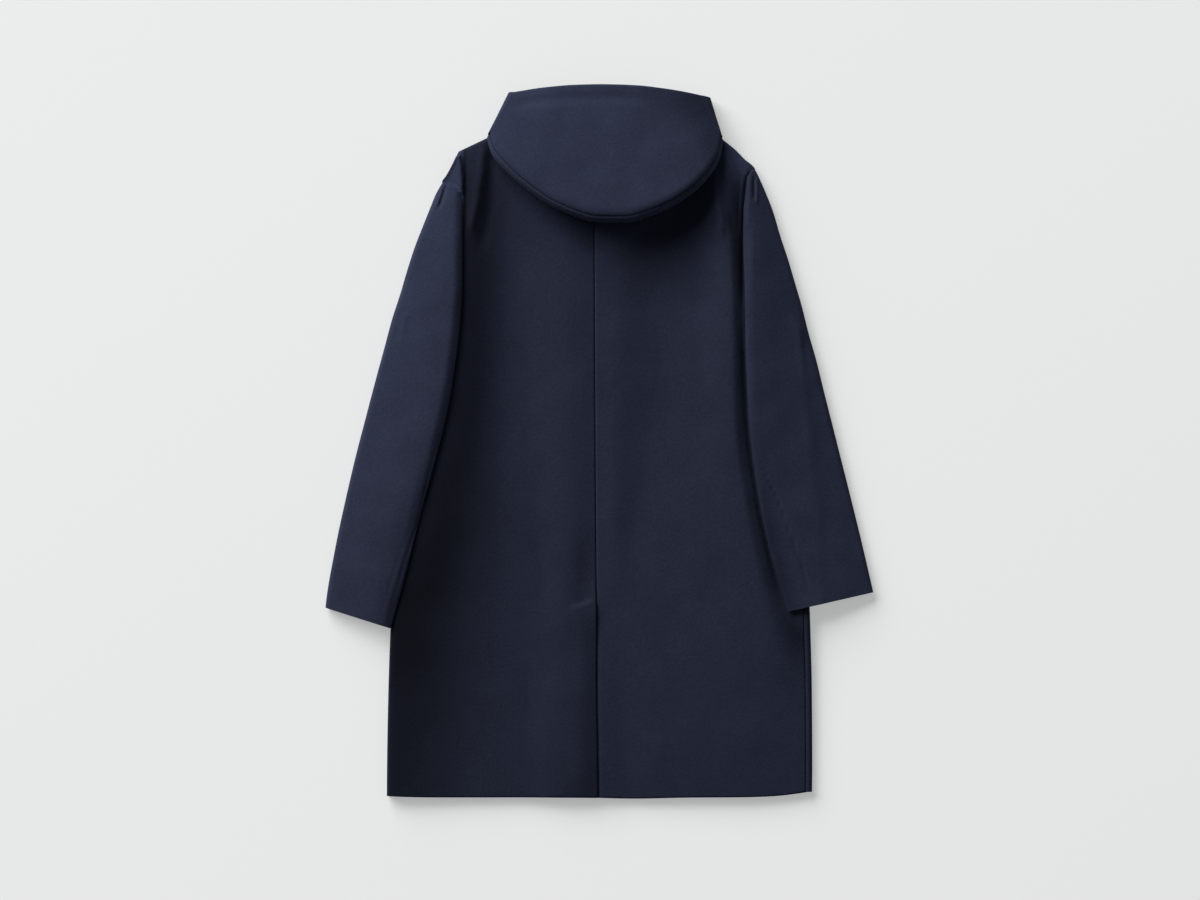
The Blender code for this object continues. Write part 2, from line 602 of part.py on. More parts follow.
coat = bpy.data.collections.new("hooded_wool_coat")
bpy.context.scene.collection.children.link(coat)
table_top = bpy.data.objects.new("table_top", None)
table_top.location = (CENTRING[0] * MM, CENTRING[1] * MM, 0.0)
coat.objects.link(table_top)

body_panels()
cloth_piece("sleeve_left", sleeve_rings(SLEEVE_LEFT), WOOL_SLEEVE, ring=True)
cloth_piece("sleeve_right", sleeve_rings(SLEEVE_RIGHT), WOOL_SLEEVE, ring=True, flip=True)
hood()
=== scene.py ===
# %% [markdown]
# # A hooded wool coat, laid face down
#
# The coat is a soft thing made of eight sewn pieces: two fronts, two backs, two
# sleeves and a hood in two parts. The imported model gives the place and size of
# each one. This lesson makes the cloth that shows: thin walls of felted wool,
# fine enough to carry creases, pressed seams and turned-up edges.
#
# Everything is worked out in millimetres and handed to Blender in metres.

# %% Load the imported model
import math
from collections import namedtuple

import bpy
import numpy as np
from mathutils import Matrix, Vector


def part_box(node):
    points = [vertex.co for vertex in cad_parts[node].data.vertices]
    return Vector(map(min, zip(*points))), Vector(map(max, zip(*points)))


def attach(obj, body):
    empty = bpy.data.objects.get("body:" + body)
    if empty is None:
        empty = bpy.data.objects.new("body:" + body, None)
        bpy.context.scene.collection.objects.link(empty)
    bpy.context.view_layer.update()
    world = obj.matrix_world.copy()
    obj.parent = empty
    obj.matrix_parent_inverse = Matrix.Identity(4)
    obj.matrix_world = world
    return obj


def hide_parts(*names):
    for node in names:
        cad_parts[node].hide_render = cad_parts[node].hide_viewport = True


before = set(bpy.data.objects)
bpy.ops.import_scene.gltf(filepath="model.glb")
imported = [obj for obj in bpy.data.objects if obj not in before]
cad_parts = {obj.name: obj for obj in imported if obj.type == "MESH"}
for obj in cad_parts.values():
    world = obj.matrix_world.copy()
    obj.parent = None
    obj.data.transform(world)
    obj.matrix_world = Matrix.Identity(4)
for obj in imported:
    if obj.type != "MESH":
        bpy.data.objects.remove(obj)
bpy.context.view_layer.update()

MM = 0.001
front_low, front_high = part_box("front_left")
FRONT_EDGE_X, HEM_Y = 27.0, -523.2      # two known lines of the pattern
SHIFT_X = front_high[0] / MM - FRONT_EDGE_X
SHIFT_Y = front_low[1] / MM - HEM_Y
print("packed nodes:", sorted(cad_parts))
print("pattern shifted by", round(SHIFT_X, 2), round(SHIFT_Y, 2), "mm")

# %% [markdown]
# ## Smooth lines through a few points
#
# A pattern is a short table of sizes. Cloth needs hundreds of points. A cubic
# curve through the table's points could swing past them, so this one takes its
# slopes as harmonic means of its neighbours: it never leaves the range of the
# two points that it runs between, so an edge stays where the table puts it.

# %% Small maths
def smooth(value):
    """0 below 0, 1 above 1, and an even S between."""
    value = np.clip(value, 0.0, 1.0)
    return value * value * (3.0 - 2.0 * value)


def ramp(value, start, end):
    """0 at start, 1 at end, and an even S between."""
    return smooth((value - start) / (end - start))


def bell(distance, reach):
    """1 at no distance, falling away evenly on both sides."""
    return np.exp(-(distance / reach) ** 2)


def mix(start, end, share):
    """Part of the way from start to end."""
    return start + (end - start) * share


def rows_of(kind, table):
    """A table's rows, with names for their numbers."""
    return [kind(*row) for row in table]


def inner_slopes(gaps, slopes):
    """Slopes at the inner points: harmonic means, and 0 where a line turns back."""
    before, after = 2 * gaps[1:] + gaps[:-1], gaps[1:] + 2 * gaps[:-1]
    same_way = slopes[:-1] * slopes[1:] > 0
    first = np.where(same_way, slopes[:-1], 1.0)
    second = np.where(same_way, slopes[1:], 1.0)
    return np.where(same_way, (before + after) / (before / first + after / second), 0.0)


def cubic(t, span, low, high, low_slope, high_slope):
    """A cubic from low to high with a slope at each; t is the share of the span."""
    return ((1 + 2 * t) * (1 - t) ** 2 * low + t * (1 - t) ** 2 * span * low_slope
            + t * t * (3 - 2 * t) * high + t * t * (t - 1) * span * high_slope)


def through(stations, values, at):
    """Values at new stations, on a line that never overshoots its points."""
    shape = (-1,) + (1,) * (values.ndim - 1)
    gaps = np.diff(stations).reshape(shape)
    slopes = np.diff(values, axis=0) / gaps
    tangents = np.concatenate([slopes[:1], inner_slopes(gaps, slopes), slopes[-1:]])
    place = np.clip(np.searchsorted(stations, at, side="right") - 1, 0, len(gaps) - 1)
    t = (at - stations[place]).reshape(shape) / gaps[place]
    return cubic(t, gaps[place], values[place], values[place + 1],
                 tangents[place], tangents[place + 1])


NEAR_EDGE = np.array([0.0, 0.35, 0.8, 1.4, 2.2, 3.2, 4.6])     # mm from a sewn edge


def cuts(length, spacing, start_fine=False, end_fine=False, count=None):
    """Places along a length, spacing apart, closer together near a finished edge."""
    low = NEAR_EDGE if start_fine else NEAR_EDGE[:1]
    high = length - (NEAR_EDGE if end_fine else NEAR_EDGE[:1])[::-1]
    count = count or max(2, round((high[0] - low[-1]) / spacing) + 1)
    return np.concatenate([low[:-1], np.linspace(low[-1], high[0], count), high[1:]])


def finer(table, spacing, start_fine=False, end_fine=False, measured=2):
    """A table's rows, run on smoothly and cut spacing mm apart."""
    values = np.array(table, float)
    steps = np.linalg.norm(np.diff(values[..., :measured], axis=0), axis=-1)
    while steps.ndim > 1:
        steps = steps.mean(axis=-1)
    stations = np.concatenate([[0.0], np.cumsum(steps)])
    return through(stations, values, cuts(stations[-1], spacing, start_fine, end_fine))


# %% [markdown]
# ## The cut of the coat
#
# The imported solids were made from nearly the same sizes. Only the strip at the
# right side seam is wider here, and the hem's right corner lower. A body row runs
# from the centre to the outer edge. `fold` is 1 where the side is folded round,
# and 0 along the armhole and the shoulder. `seam_in` is how far the side seam
# lies in from the edge.

# %% Cloth and layers
CLOTH = 2.6                 # felted wool, one layer
HEM_CLOTH = 4.0             # where the cloth is turned up and felled
SEAM_GAP = 0.3              # space between two layers or two sewn edges
BODY_HEIGHT = 8.4           # fronts and backs lying on each other
REST_ON_BODY = BODY_HEIGHT + SEAM_GAP
SIDE_RADIUS = BODY_HEIGHT / 2
CENTRE_X = -8.0             # centre-back seam
FLY_OVERLAP, FLY_STEP = 35.0, 12.0
VENT_TOP_Y, VENT_LAP, VENT_SLOPE = -233.0, 40.0, 0.35
VENT_SWELL = 62.0           # how softly the back climbs over the underlap
CLIMB_REST = 2.0            # the climb is over this far before the layer's edge
SEAM_EASE, SIDE_WRAP = 1.3, 5.3     # a side roll stops short of its seam, or passes it
LATE_RISE = 9               # how late a row bends towards its outer end
HEM_WAVE, HEM_WAVE_X, HEM_WAVE_REACH, HEM_WAVE_TOP = 1.8, 52.0, 55.0, 150.0

BodyRow = namedtuple("BodyRow", "centre_y edge_x edge_y fold seam_in underlap",
                     defaults=(0.0, 0.0, 0.0))

LEFT_ROWS = rows_of(BodyRow, [
    (-523.2, -310.8, -521, 1), (-483.2, -310.5, -481, 1), (-370, -308.5, -370, 1),
    (-264, -304.8, -266, 1), (-233, -303, -235, 1), (-110, -296, -110, 1), (0, -289, 0, 1),
    (96, -284, 100, 0.7), (116, -282.6, 122, 0.4), (132, -281.5, 141), (160, -243, 180),
    (205, -216, 235), (235, -204, 266), (265, -203, 300), (305, -203, 345), (322, -203, 361),
    (338, -229.6, 379.8), (346, -224, 388), (358, -215, 404),
])
RIGHT_ROWS = rows_of(BodyRow, [
    (-523.2, 313.6, -515, 1, 9.8, 40), (-483.2, 314, -475, 1, 9.8, 40),
    (-370, 313.4, -370, 1, 9.8, 40), (-264, 310.8, -266, 1, 9.8, 40),
    (-247, 310.2, -249, 1, 9.8, 14), (-233, 309.4, -235, 1, 9.8), (-110, 303, -110, 1, 9.8),
    (0, 297, 0, 1, 9.8), (88, 292, 92, 1, 9.8), (98, 291.4, 102, 1, 11.5),
    (116, 290.2, 122, 0.25, 11.5), (132, 289, 141), (160, 252, 180), (205, 224, 235),
    (235, 216, 266), (265, 215, 300), (305, 217, 345), (322, 219, 366), (338, 221, 384.5),
    (348, 230.4, 397.6), (358, 215, 413),
])

# The top edges, from the centre along the neck to the end of the shoulder.
BACK_TOP_LEFT = [
    (-8.2, 442), (-35, 446), (-63, 454), (-86, 466), (-125, 457), (-164, 444.5), (-205, 425),
]
BACK_TOP_RIGHT = [
    (-7.8, 442), (30, 444), (70, 453), (96, 466), (140, 456), (183, 442), (200.6, 428),
]
FRONT_TOP_LEFT = [
    (27, 384), (-8, 384), (-43, 396.5), (-75.5, 429), (-86, 466), (-125, 457), (-164, 444.5),
    (-205, 425),
]
FRONT_TOP_RIGHT = [
    (-43, 384), (-8, 384), (29, 388), (50, 396.5), (84, 429), (96, 466), (140, 456),
    (183, 442), (200.6, 428),
]
print(len(LEFT_ROWS) + len(RIGHT_ROWS), "body rows")

# %% [markdown]
# ## Soft folds and pressed lines
#
# Cloth is never level. A heavy coat lies in broad swells with a few sharper
# lines where a seam is pressed or a layer ends. Each is a line of points with a
# width and a height: positive for a ridge, negative for a trough. A lip is a
# step: the cloth on the left of the line stands up and sinks back slowly. They
# are listed one by one, because a simulation would put them in other places.

# %% Lines of relief
Fold = namedtuple("Fold", "width height points")
Lip = namedtuple("Lip", "rise reach points")
FADE = 0.22                 # share of a line over which its ends fade
LIP_ROUND = 2.4             # a lip's edge is rounded over this width


def along_line(points, x, y):
    """Signed distance to a line (left of its direction is positive) and share along it."""
    line = np.array(points, float)
    lengths = np.linalg.norm(np.diff(line, axis=0), axis=1)
    before = np.concatenate([[0.0], np.cumsum(lengths)])
    nearest = np.full(np.shape(x), np.inf)
    signed, share = np.zeros(np.shape(x)), np.zeros(np.shape(x))
    for start, end, length, done in zip(line, line[1:], lengths, before):
        ahead = (end - start) / length
        dx, dy = x - start[0], y - start[1]
        along = np.clip(dx * ahead[0] + dy * ahead[1], 0.0, length)
        away_x, away_y = dx - along * ahead[0], dy - along * ahead[1]
        distance = np.hypot(away_x, away_y)
        closer = distance < nearest
        nearest = np.where(closer, distance, nearest)
        side = np.where(ahead[0] * away_y - ahead[1] * away_x >= 0, 1.0, -1.0)
        signed = np.where(closer, side * distance, signed)
        share = np.where(closer, (done + along) / before[-1], share)
    return signed, share


def relief(lines, x, y):
    """Height in mm that a list of folds and lips adds at x, y."""
    height = np.zeros(np.shape(x))
    for line in lines:
        signed, share = along_line(line.points, x, y)
        ends = smooth(share / FADE) * smooth((1.0 - share) / FADE)
        if isinstance(line, Fold):
            height += line.height * ends * bell(signed, line.width)
        else:
            near = np.clip(signed / LIP_ROUND, 0.0, 1.0)
            rounded = np.sqrt(near * (2.0 - near))
            height += line.rise * ends * rounded * (1.0 - smooth(signed / line.reach))
    return height


WAVES, WAVE_TURN, WAVE_SHIFT = 9, 2.39996, 1.7      # turned by the golden angle
SHORTEST_WAVE, WAVE_GROWTH = 0.7, 0.13              # shares of the size


def unevenness(x, y, size, height, turn=0.0):
    """Gentle waves in many directions, about `size` mm across."""
    total = np.zeros(np.shape(x))
    for wave in range(WAVES):
        angle = turn + wave * WAVE_TURN
        length = size * (SHORTEST_WAVE + WAVE_GROWTH * wave)
        way = x * math.cos(angle) + y * math.sin(angle)
        total += np.sin(2 * math.pi * way / length + wave * wave * WAVE_SHIFT)
    return height * total / math.sqrt(WAVES)


# %% [markdown]
# ## How the body lies
#
# The backs rest on the fronts, so their tops are about 8 mm above the table.
# Air is caught beside each sleeve and along two long swells down the back, and
# the cloth sinks between them.

# %% Height of the back
# At each y, points across the back from its left side to its right one: x, height.
# In order: left side, beside the left sleeve, foot of that slope, left swell,
# centre seam, right swell, the dip beside it, the rise after the dip, beside the
# right sleeve, its groove, right side.
BACK_FORM = [
    (445, [(-215, 9), (-186, 10), (-120, 9), (-45, 9.2), (-8, 9.2), (30, 9.2), (90, 9),
        (140, 9.2), (184, 10.5), (205, 9.2), (232, 9)]),
    (350, [(-235, 12), (-186, 14), (-150, 10), (-50, 10.5), (-8, 10), (28, 9.6), (95, 8.6),
        (140, 9.6), (186, 15.5), (211, 9), (240, 9.6)]),
    (281, [(-260, 12.5), (-196, 16.5), (-135, 10), (-48, 13.4), (-8, 12.4), (28, 12), (98, 8.4),
        (142, 10.5), (191, 18.6), (212, 10.4), (255, 10)]),
    (207, [(-270, 13), (-200, 18), (-122, 10.2), (-38, 16.6), (-8, 16.4), (26, 17), (92, 10.6),
        (138, 12.6), (194, 20.8), (214, 12), (270, 10.5)]),
    (134, [(-284, 12), (-207, 18.5), (-115, 10.5), (-32, 16.8), (-8, 17), (25, 18.2),
        (96, 12.4), (140, 14.4), (196, 22.4), (216, 13), (290, 10.5)]),
    (31, [(-287, 12), (-226, 18.5), (-112, 10.5), (-38, 16.4), (-8, 16.4), (23, 17.4),
        (84, 12.8), (138, 15), (197, 21.6), (219, 12.4), (295, 10.5)]),
    (-87, [(-294, 13), (-255, 18.5), (-97, 10.9), (-36, 15.2), (-8, 14.6), (21, 15.8),
        (62, 13.2), (120, 15.4), (212, 20.4), (236, 12), (302, 10.5)]),
    (-204, [(-301, 15), (-284, 18), (-88, 11), (-46, 14.4), (-8, 11.8), (26, 12.8), (46, 12.6),
        (100, 14.2), (234, 18.4), (264, 12), (308, 11)]),
    (-240, [(-303, 15), (-291, 17), (-90, 11), (-46, 13.2), (-8, 12.2), (28, 12), (48, 12.2),
        (95, 13.4), (243, 18.2), (277, 13.6), (310, 13.8)]),
    (-264, [(-304, 15.4), (-293, 17), (-93, 10.8), (-48, 12.8), (-8, 12), (28, 11.6), (48, 12),
        (94, 13.2), (246, 18), (290, 14.6), (310, 14)]),
    (-307, [(-306, 16), (-299, 16.6), (-98, 10.6), (-50, 11.8), (-8, 12), (30, 11.1),
        (50, 11.6), (90, 12.6), (250, 17), (297, 12.2), (312, 11)]),
    (-381, [(-308.5, 15), (-299, 15.6), (-105, 10.3), (-62, 12.2), (-8, 12.2), (36, 10.8),
        (56, 11.3), (90, 12.4), (230, 14.4), (292, 10.8), (313, 9.4)]),
    (-484, [(-310.5, 13), (-299, 13.6), (-118, 10), (-72, 11.8), (-8, 11.8), (40, 9.8),
        (62, 10.6), (92, 11.6), (212, 12.2), (288, 10.2), (314, 8.6)]),
    (-524, [(-311, 11.5), (-299, 12), (-118, 9.4), (-72, 10.8), (-8, 10.4), (40, 8.9),
        (62, 9.4), (92, 10.2), (212, 10.6), (288, 9.4), (314, 8.4)]),
]


def back_form(x, y):
    """Height of the soft form at x, y: smooth lines along it, then across."""
    x, y = np.asarray(x, float), np.asarray(y, float)
    stations = -np.array([at_y for at_y, row in BACK_FORM], float)
    points = np.array([row for at_y, row in BACK_FORM], float)
    knots = through(stations, points, np.clip(-y.ravel(), stations[0], stations[-1]))
    knot_x, knot_z = knots[..., 0].T, knots[..., 1].T
    gaps = np.diff(knot_x, axis=0)
    slopes = np.diff(knot_z, axis=0) / gaps
    level = np.zeros((1, x.size))
    tangents = np.concatenate([level, inner_slopes(gaps, slopes), level])
    flat_x = np.clip(x.ravel(), knot_x[0], knot_x[-1])
    place = np.clip((flat_x >= knot_x).sum(axis=0) - 1, 0, len(gaps) - 1)
    low, high = (place, np.arange(x.size)), (place + 1, np.arange(x.size))
    t = (flat_x - knot_x[low]) / gaps[low]
    height = cubic(t, gaps[low], knot_z[low], knot_z[high], tangents[low], tangents[high])
    return height.reshape(x.shape)


def back_height(x, y):
    """Top of the backs, without their edges."""
    return back_form(x, y) + unevenness(x, y, size=90.0, height=0.25)


sample = back_height(np.array([-200.0, -120.0, 90.0, 185.0]), np.full(4, 130.0))
print("height across the back:", np.round(sample, 1), "mm")

# %% [markdown]
# ## Felted wool
#
# Melton is woven wool, milled until the weave is hidden under short matted
# fibres. It is dark navy, almost without gloss, with a faint mottle where the
# fibres lie closer. The mottle and the fibres are made from noise at sizes taken
# from real cloth. A small class wraps each socket, so the shader's sums read
# like ordinary ones.

# %% Shader sums
class Value:
    """A socket whose + - * add Math nodes."""

    def __init__(self, finish, socket):
        self.finish, self.socket = finish, socket

    def _math(self, operation, first, second):
        return self.finish.add("ShaderNodeMath", {"operation": operation},
                               {0: first, 1: second})

    def __add__(self, other):
        return self._math("ADD", self, other)

    def __radd__(self, other):
        return self._math("ADD", other, self)

    def __sub__(self, other):
        return self._math("SUBTRACT", self, other)

    def __rsub__(self, other):
        return self._math("SUBTRACT", other, self)

    def __mul__(self, other):
        return self._math("MULTIPLY", self, other)

    def __rmul__(self, other):
        return self._math("MULTIPLY", other, self)


def pick(sockets, key):
    """A socket by its number, its identifier or its name."""
    if isinstance(key, int):
        return sockets[key]
    return next(s for s in sockets if key in (s.identifier, s.name))


class Finish:
    """A material's node tree, built one node at a time."""

    def __init__(self, name):
        self.material = bpy.data.materials.new(name)
        self.material.use_nodes = True
        self.tree = self.material.node_tree
        self.tree.nodes.clear()

    def add(self, kind, settings, sockets, output=0):
        """A node: its settings first, then its sockets' values or links."""
        node = self.tree.nodes.new(kind)
        for name, value in settings.items():
            setattr(node, name, value)
        for key, value in sockets.items():
            if isinstance(value, Value):
                self.tree.links.new(value.socket, pick(node.inputs, key))
            else:
                pick(node.inputs, key).default_value = value
        return Value(self, pick(node.outputs, output))

    def noise(self, place, size, detail=2.0, roughness=0.5, stretch=(1.0, 1.0, 1.0)):
        """Noise about size mm across, from 0 to 1."""
        scaled = self.add("ShaderNodeVectorMath", {"operation": "MULTIPLY"},
                          {0: place, 1: tuple(s / (size * MM) for s in stretch)})
        return self.add("ShaderNodeTexNoise", {"noise_dimensions": "3D"},
                        {"Vector": scaled, "Scale": 1.0, "Detail": detail,
                         "Roughness": roughness}, "Fac")

    def surface(self, sockets):
        """The finished material, from the sockets of its surface shader."""
        shader = self.add("ShaderNodeBsdfPrincipled", {}, sockets)
        end = self.tree.nodes.new("ShaderNodeOutputMaterial")
        self.tree.links.new(shader.socket, end.inputs["Surface"])
        return self.material


# %% The wool's finish
WOOL_DARK = (0.0165, 0.0198, 0.0385, 1.0)
WOOL_LIGHT = (0.0275, 0.0325, 0.0610, 1.0)


def felted_wool(name, nap_angle):
    """Navy melton; nap_angle is the way that its fibres are brushed."""
    finish = Finish(name)
    place = finish.add("ShaderNodeTexCoord", {}, {}, "Object")
    brushed = finish.add("ShaderNodeVectorRotate", {"rotation_type": "Z_AXIS"},
                         {"Vector": place, "Angle": nap_angle})
    patches = finish.noise(place, size=34.0)
    mottle = finish.noise(place, size=5.0, detail=3.0, roughness=0.62)
    flecks = finish.noise(brushed, size=1.6, roughness=0.6, stretch=(1.0, 0.45, 1.0))
    fibres = finish.noise(brushed, size=0.75, roughness=0.65, stretch=(1.0, 0.3, 1.0))
    tone = 0.5 + (patches - 0.5) * 0.55 + (mottle - 0.5) * 0.95 + (flecks - 0.5) * 0.9
    colour = finish.add("ShaderNodeMix", {"data_type": "RGBA", "clamp_factor": True},
                        {"Factor_Float": tone, "A_Color": WOOL_DARK, "B_Color": WOOL_LIGHT},
                        "Result_Color")
    # Painted light and shade, kept on each point, multiplies the wool's colour.
    nap_and_painted_shade = finish.add("ShaderNodeAttribute", {"attribute_name": "nap_and_painted_shade"}, {}, "Fac")
    painted_shade_tone = finish.add("ShaderNodeCombineColor", {}, {"Red": nap_and_painted_shade, "Green": nap_and_painted_shade, "Blue": nap_and_painted_shade})
    shaded_colour = finish.add("ShaderNodeMix", {"data_type": "RGBA", "blend_type": "MULTIPLY"},
                                {"Factor_Float": 1.0, "A_Color": colour, "B_Color": painted_shade_tone},
                                "Result_Color")
    height = fibres * 0.5 + flecks * 0.9 + mottle * 1.1
    bump = finish.add("ShaderNodeBump", {},
                      {"Strength": 0.55, "Distance": 0.5 * MM, "Height": height})
    rough = 0.86 + (mottle - 0.5) * 0.16
    return finish.surface({"Base Color": shaded_colour, "Roughness": rough, "Metallic": 0.0,
                           "IOR": 1.42, "Specular IOR Level": 0.1,
                           "Sheen Weight": 0.05, "Sheen Roughness": 0.55,
                           "Sheen Tint": (0.42, 0.47, 0.62, 1.0), "Normal": bump})


WOOL = {name: felted_wool("wool " + name, angle)
        for name, angle in (("body", 0.05), ("sleeves", 0.22), ("hood", 1.35))}
print(len(WOOL), "finishes, one for each way of the nap")

# %% [markdown]
# ## Making a piece
#
# A piece is a grid of points on its outer side. A Solidify modifier gives it the
# wool's thickness, more along a turned-up hem, so an edge shows as real cloth.
# Each point also carries a tone of painted light and shade, which multiplies
# the wool's colour.

# %% From a grid to a wall of cloth
HEM_TOP_Y, HEM_FADE = -483.0, 6.0


def placed(name, data):
    """A new object in the scene."""
    thing = bpy.data.objects.new(name, data)
    bpy.context.scene.collection.objects.link(thing)
    return thing


def cloth(name, grid, finish, ring=False, flip=False, hemmed=False, nap_and_painted_shade=1.0):
    """A wall of cloth from its outer side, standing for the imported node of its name."""
    rows, columns = grid.shape[:2]
    points = (grid + np.array([SHIFT_X, SHIFT_Y, 0.0])).reshape(-1, 3) * MM
    index = np.arange(rows * columns).reshape(rows, columns)
    after = np.roll(index, -1, axis=1)
    if not ring:
        index, after = index[:, :-1], after[:, :-1]
    faces = np.stack([index[:-1], after[:-1], after[1:], index[1:]], axis=-1).reshape(-1, 4)
    if flip:
        faces = faces[:, ::-1]
    mesh = bpy.data.meshes.new(name)
    mesh.from_pydata(points.tolist(), [], faces.tolist())
    mesh.shade_smooth()
    mesh.materials.append(WOOL[finish])
    # The tone on each point is painted light and shade for the wool's colour.
    tone = mesh.attributes.new("nap_and_painted_shade", "FLOAT", "POINT")
    tone.data.foreach_set("value", np.broadcast_to(nap_and_painted_shade, (rows, columns)).astype(float).ravel())
    piece = placed(name + "_cloth", mesh)

    wall = piece.modifiers.new("cloth wall", "SOLIDIFY")
    wall.offset = -1.0
    wall.thickness = CLOTH * MM
    if hemmed:
        hem = piece.vertex_groups.new(name="turned-up hem")
        amount = 1.0 - ramp(grid[..., 1].ravel(), HEM_TOP_Y, HEM_TOP_Y + HEM_FADE)
        for step in np.unique(np.round(amount[amount > 0.0], 2)):
            chosen = np.flatnonzero(np.abs(amount - step) < 0.005)
            hem.add(chosen.tolist(), float(step), "REPLACE")
        wall.thickness = HEM_CLOTH * MM
        wall.vertex_group = hem.name
        wall.thickness_vertex_group = CLOTH / HEM_CLOTH
    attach(piece, "root")
    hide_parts(name)
    print(f"{name}: {rows} x {columns} points")
    return piece


# %% [markdown]
# ## Fronts and backs
#
# Each panel is laid out row by row, then run on smoothly from row to row. Every
# sewn edge rolls down into its seam, which is what makes a seam show as a line.

# %% Laying out a panel
QUARTER = SIDE_RADIUS * math.pi / 2
QUARTER_ROLL = np.linspace(0.0, QUARTER - SEAM_EASE, 7)[1:]
WRAP_ROLL = np.append(np.linspace(0.0, QUARTER * 2, 13)[1:], QUARTER * 2 + SIDE_WRAP)
CENTRE_STRIP, ROW_REST = 60.0, 235.0        # the strip at the centre; a usual rest of a row
BACK_SPACING, FRONT_SPACING = 3.0, 5.0      # mm from point to point
LAP_CUTS, LAP_END = 8, 1.0                  # the underlap, in place of the first cuts
TOP_STEPS = [(0.55, 0.0), (0.9, 0.25), (1.0, 1.0)]      # way to the top edge, share of drop


def turned(arc, fold):
    """How far cloth reaches outwards and upwards after `arc` mm of a side fold."""
    if fold == 0.0:
        return arc, 0.0 * arc
    radius = SIDE_RADIUS / fold
    angle = np.minimum(arc / radius, math.pi)
    beyond = arc - angle * radius
    return radius * np.sin(angle) - beyond, radius * (1.0 - np.cos(angle))


def panel(rows, centre_x, top_edge, roll, side, on_top, spacing, lapped=False):
    """Points of a panel's flat part and side roll; z holds only what the edges add.

    lapped is for the panel with an underlap, which ends at a side seam.
    """
    grid, near = [], cuts(CENTRE_STRIP, spacing, start_fine=True)
    for row in rows:
        edge_x = row.edge_x - (side * row.seam_in if on_top else 0.0)
        reach = turned(roll, row.fold)[0].max() if len(roll) else 0.0
        flat_end = edge_x - side * reach
        x = centre_x + side * near
        rest = abs(flat_end - x[-1])
        count = round(ROW_REST / spacing)
        shares = cuts(rest, spacing, end_fine=lapped, count=count)[1:] / rest
        x = np.concatenate([x, mix(x[-1], flat_end, shares)])
        if lapped:
            lap = np.linspace(-row.underlap, LAP_END, LAP_CUTS)[:-1]
            x = np.concatenate([centre_x + lap, x[4:]])
        power = LATE_RISE if row.fold == 1.0 else 1
        share = np.maximum((x - centre_x) / (flat_end - centre_x), 0.0)
        wave = HEM_WAVE * bell(x - HEM_WAVE_X, HEM_WAVE_REACH)
        wave *= 1.0 - smooth((row.centre_y - rows[0].centre_y) / HEM_WAVE_TOP)
        grid.append(np.stack([x, mix(row.centre_y, row.edge_y, share ** power) - wave,
                              0.0 * x], axis=1))
    plans = np.array(grid)
    if len(roll):
        rolled = np.zeros((len(plans), len(roll), 3))
        for plan, row, strip in zip(plans, rows, rolled):
            out, up = turned(roll, row.fold)
            strip[:] = plan[-1]
            strip[:, 0] += side * out
            strip[:, 2] += -up if on_top else up
        plans = np.concatenate([plans, rolled], axis=1)
    last, top = plans[-1], np.array(top_edge)
    share = np.clip((last[:, 0] - centre_x) / (last[-1, 0] - centre_x), 0.0, 1.0)
    top_share = (top[:, 0] - top[0, 0]) / (top[-1, 0] - top[0, 0])
    ends = np.stack([np.interp(share, top_share, top[:, 0]),
                     np.interp(share, top_share, top[:, 1]), 0.0 * share], axis=1)
    drop = BODY_HEIGHT - (2 * CLOTH + SEAM_GAP) if on_top else 0.0
    for step, lower in TOP_STEPS:
        plan = mix(last, ends, step)
        plan[:, 2] = -lower * drop
        plans = np.concatenate([plans, plan[None]])
    return finer(plans, spacing, start_fine=True)


def sink(distance, depth, width):
    """How far an edge rolls down, that many mm from its seam."""
    near = np.clip(1.0 - distance / width, 0.0, 1.0)
    return depth * (1.0 - np.sqrt(1.0 - near * near))


# %% Folds of the backs
ARMHOLE = Fold(2.4, -4.2, [(240, 405), (224, 397), (217.5, 386), (214.5, 362),
                           (213, 338), (211.4, 304), (211, 266), (211.6, 180)])
BACK_FOLDS = [
    Lip(5.5, 36, [(-197.6, 300), (-197.5, 362), (-198, 385), (-200, 405), (-204, 424),
        (-212, 455)]),
    Fold(7, 2.6, [(-168, 450), (-171, 396), (-174, 376), (-178, 350), (-184, 325),
        (-190, 290)]),
    Fold(9, -2.2, [(-153, 450), (-157, 389), (-160, 344), (-167, 307), (-177, 265)]),
    Fold(1.7, -1.4, [(-229, 380.6), (-218, 380.2), (-207, 374.2), (-199, 366), (-195, 358)]),
    Fold(5, 2.4, [(168, 400), (173, 355), (180, 330), (181, 290)]),
    Fold(6, -2.6, [(178, 430), (181, 390), (186, 355), (194, 328), (202, 295)]),
    Fold(1.6, -1.2, [(209, 400), (207, 362), (205.5, 332), (206, 290)]),
    ARMHOLE,
    Fold(1, -0.35, [(-14.4, 318), (-14.4, 60), (-14.4, -205)]),
    Fold(2.8, -4.6, [(211.6, 190), (211.6, 150), (214, 90), (217.4, 31), (222.4, -13),
        (229.2, -57), (236, -101), (246, -145), (255, -182), (263.6, -210), (272.4, -239),
        (275.4, -249)]),
]
TACK = [(-9.3, -229.8), (-46.7, -244)]      # where the vent's top is stitched down
TACK_RISE, TACK_REACH = 1.0, 80.0
SEAM_SINK, SIDE_SINK, HEM_SINK = (1.9, 3.0), (1.3, 2.6), (1.8, 3.2)     # depth, width
FREE_SINK = 0.25            # share of the seam's depth that the vent's free edge keeps
HOLLOW_X, HOLLOW_WIDTH, HOLLOW_DEPTH = -26.0, 13.0, 1.5     # above the stitched line
DROOP, DROOP_REACH = 1.2, 28.0              # of the vent's free edge
ROLL_TOP_Y = 200.0          # below this the side's roll is as high as the back
# From where to where, in y, each of these comes in.
HOLLOW_Y = (-105.0, -215.0)
CLIMB_TACK, HOLLOW_TACK = (60.0, -25.0), (-1.0, 3.0)        # from the stitched line
FREE_VENT, DROOP_VENT, UNDER_VENT = (0.0, -10.0), (-20.0, -80.0), (-2.0, -16.0)
UNDER_X = (5.5, -2.5)       # from the centre line: where the underlap dips

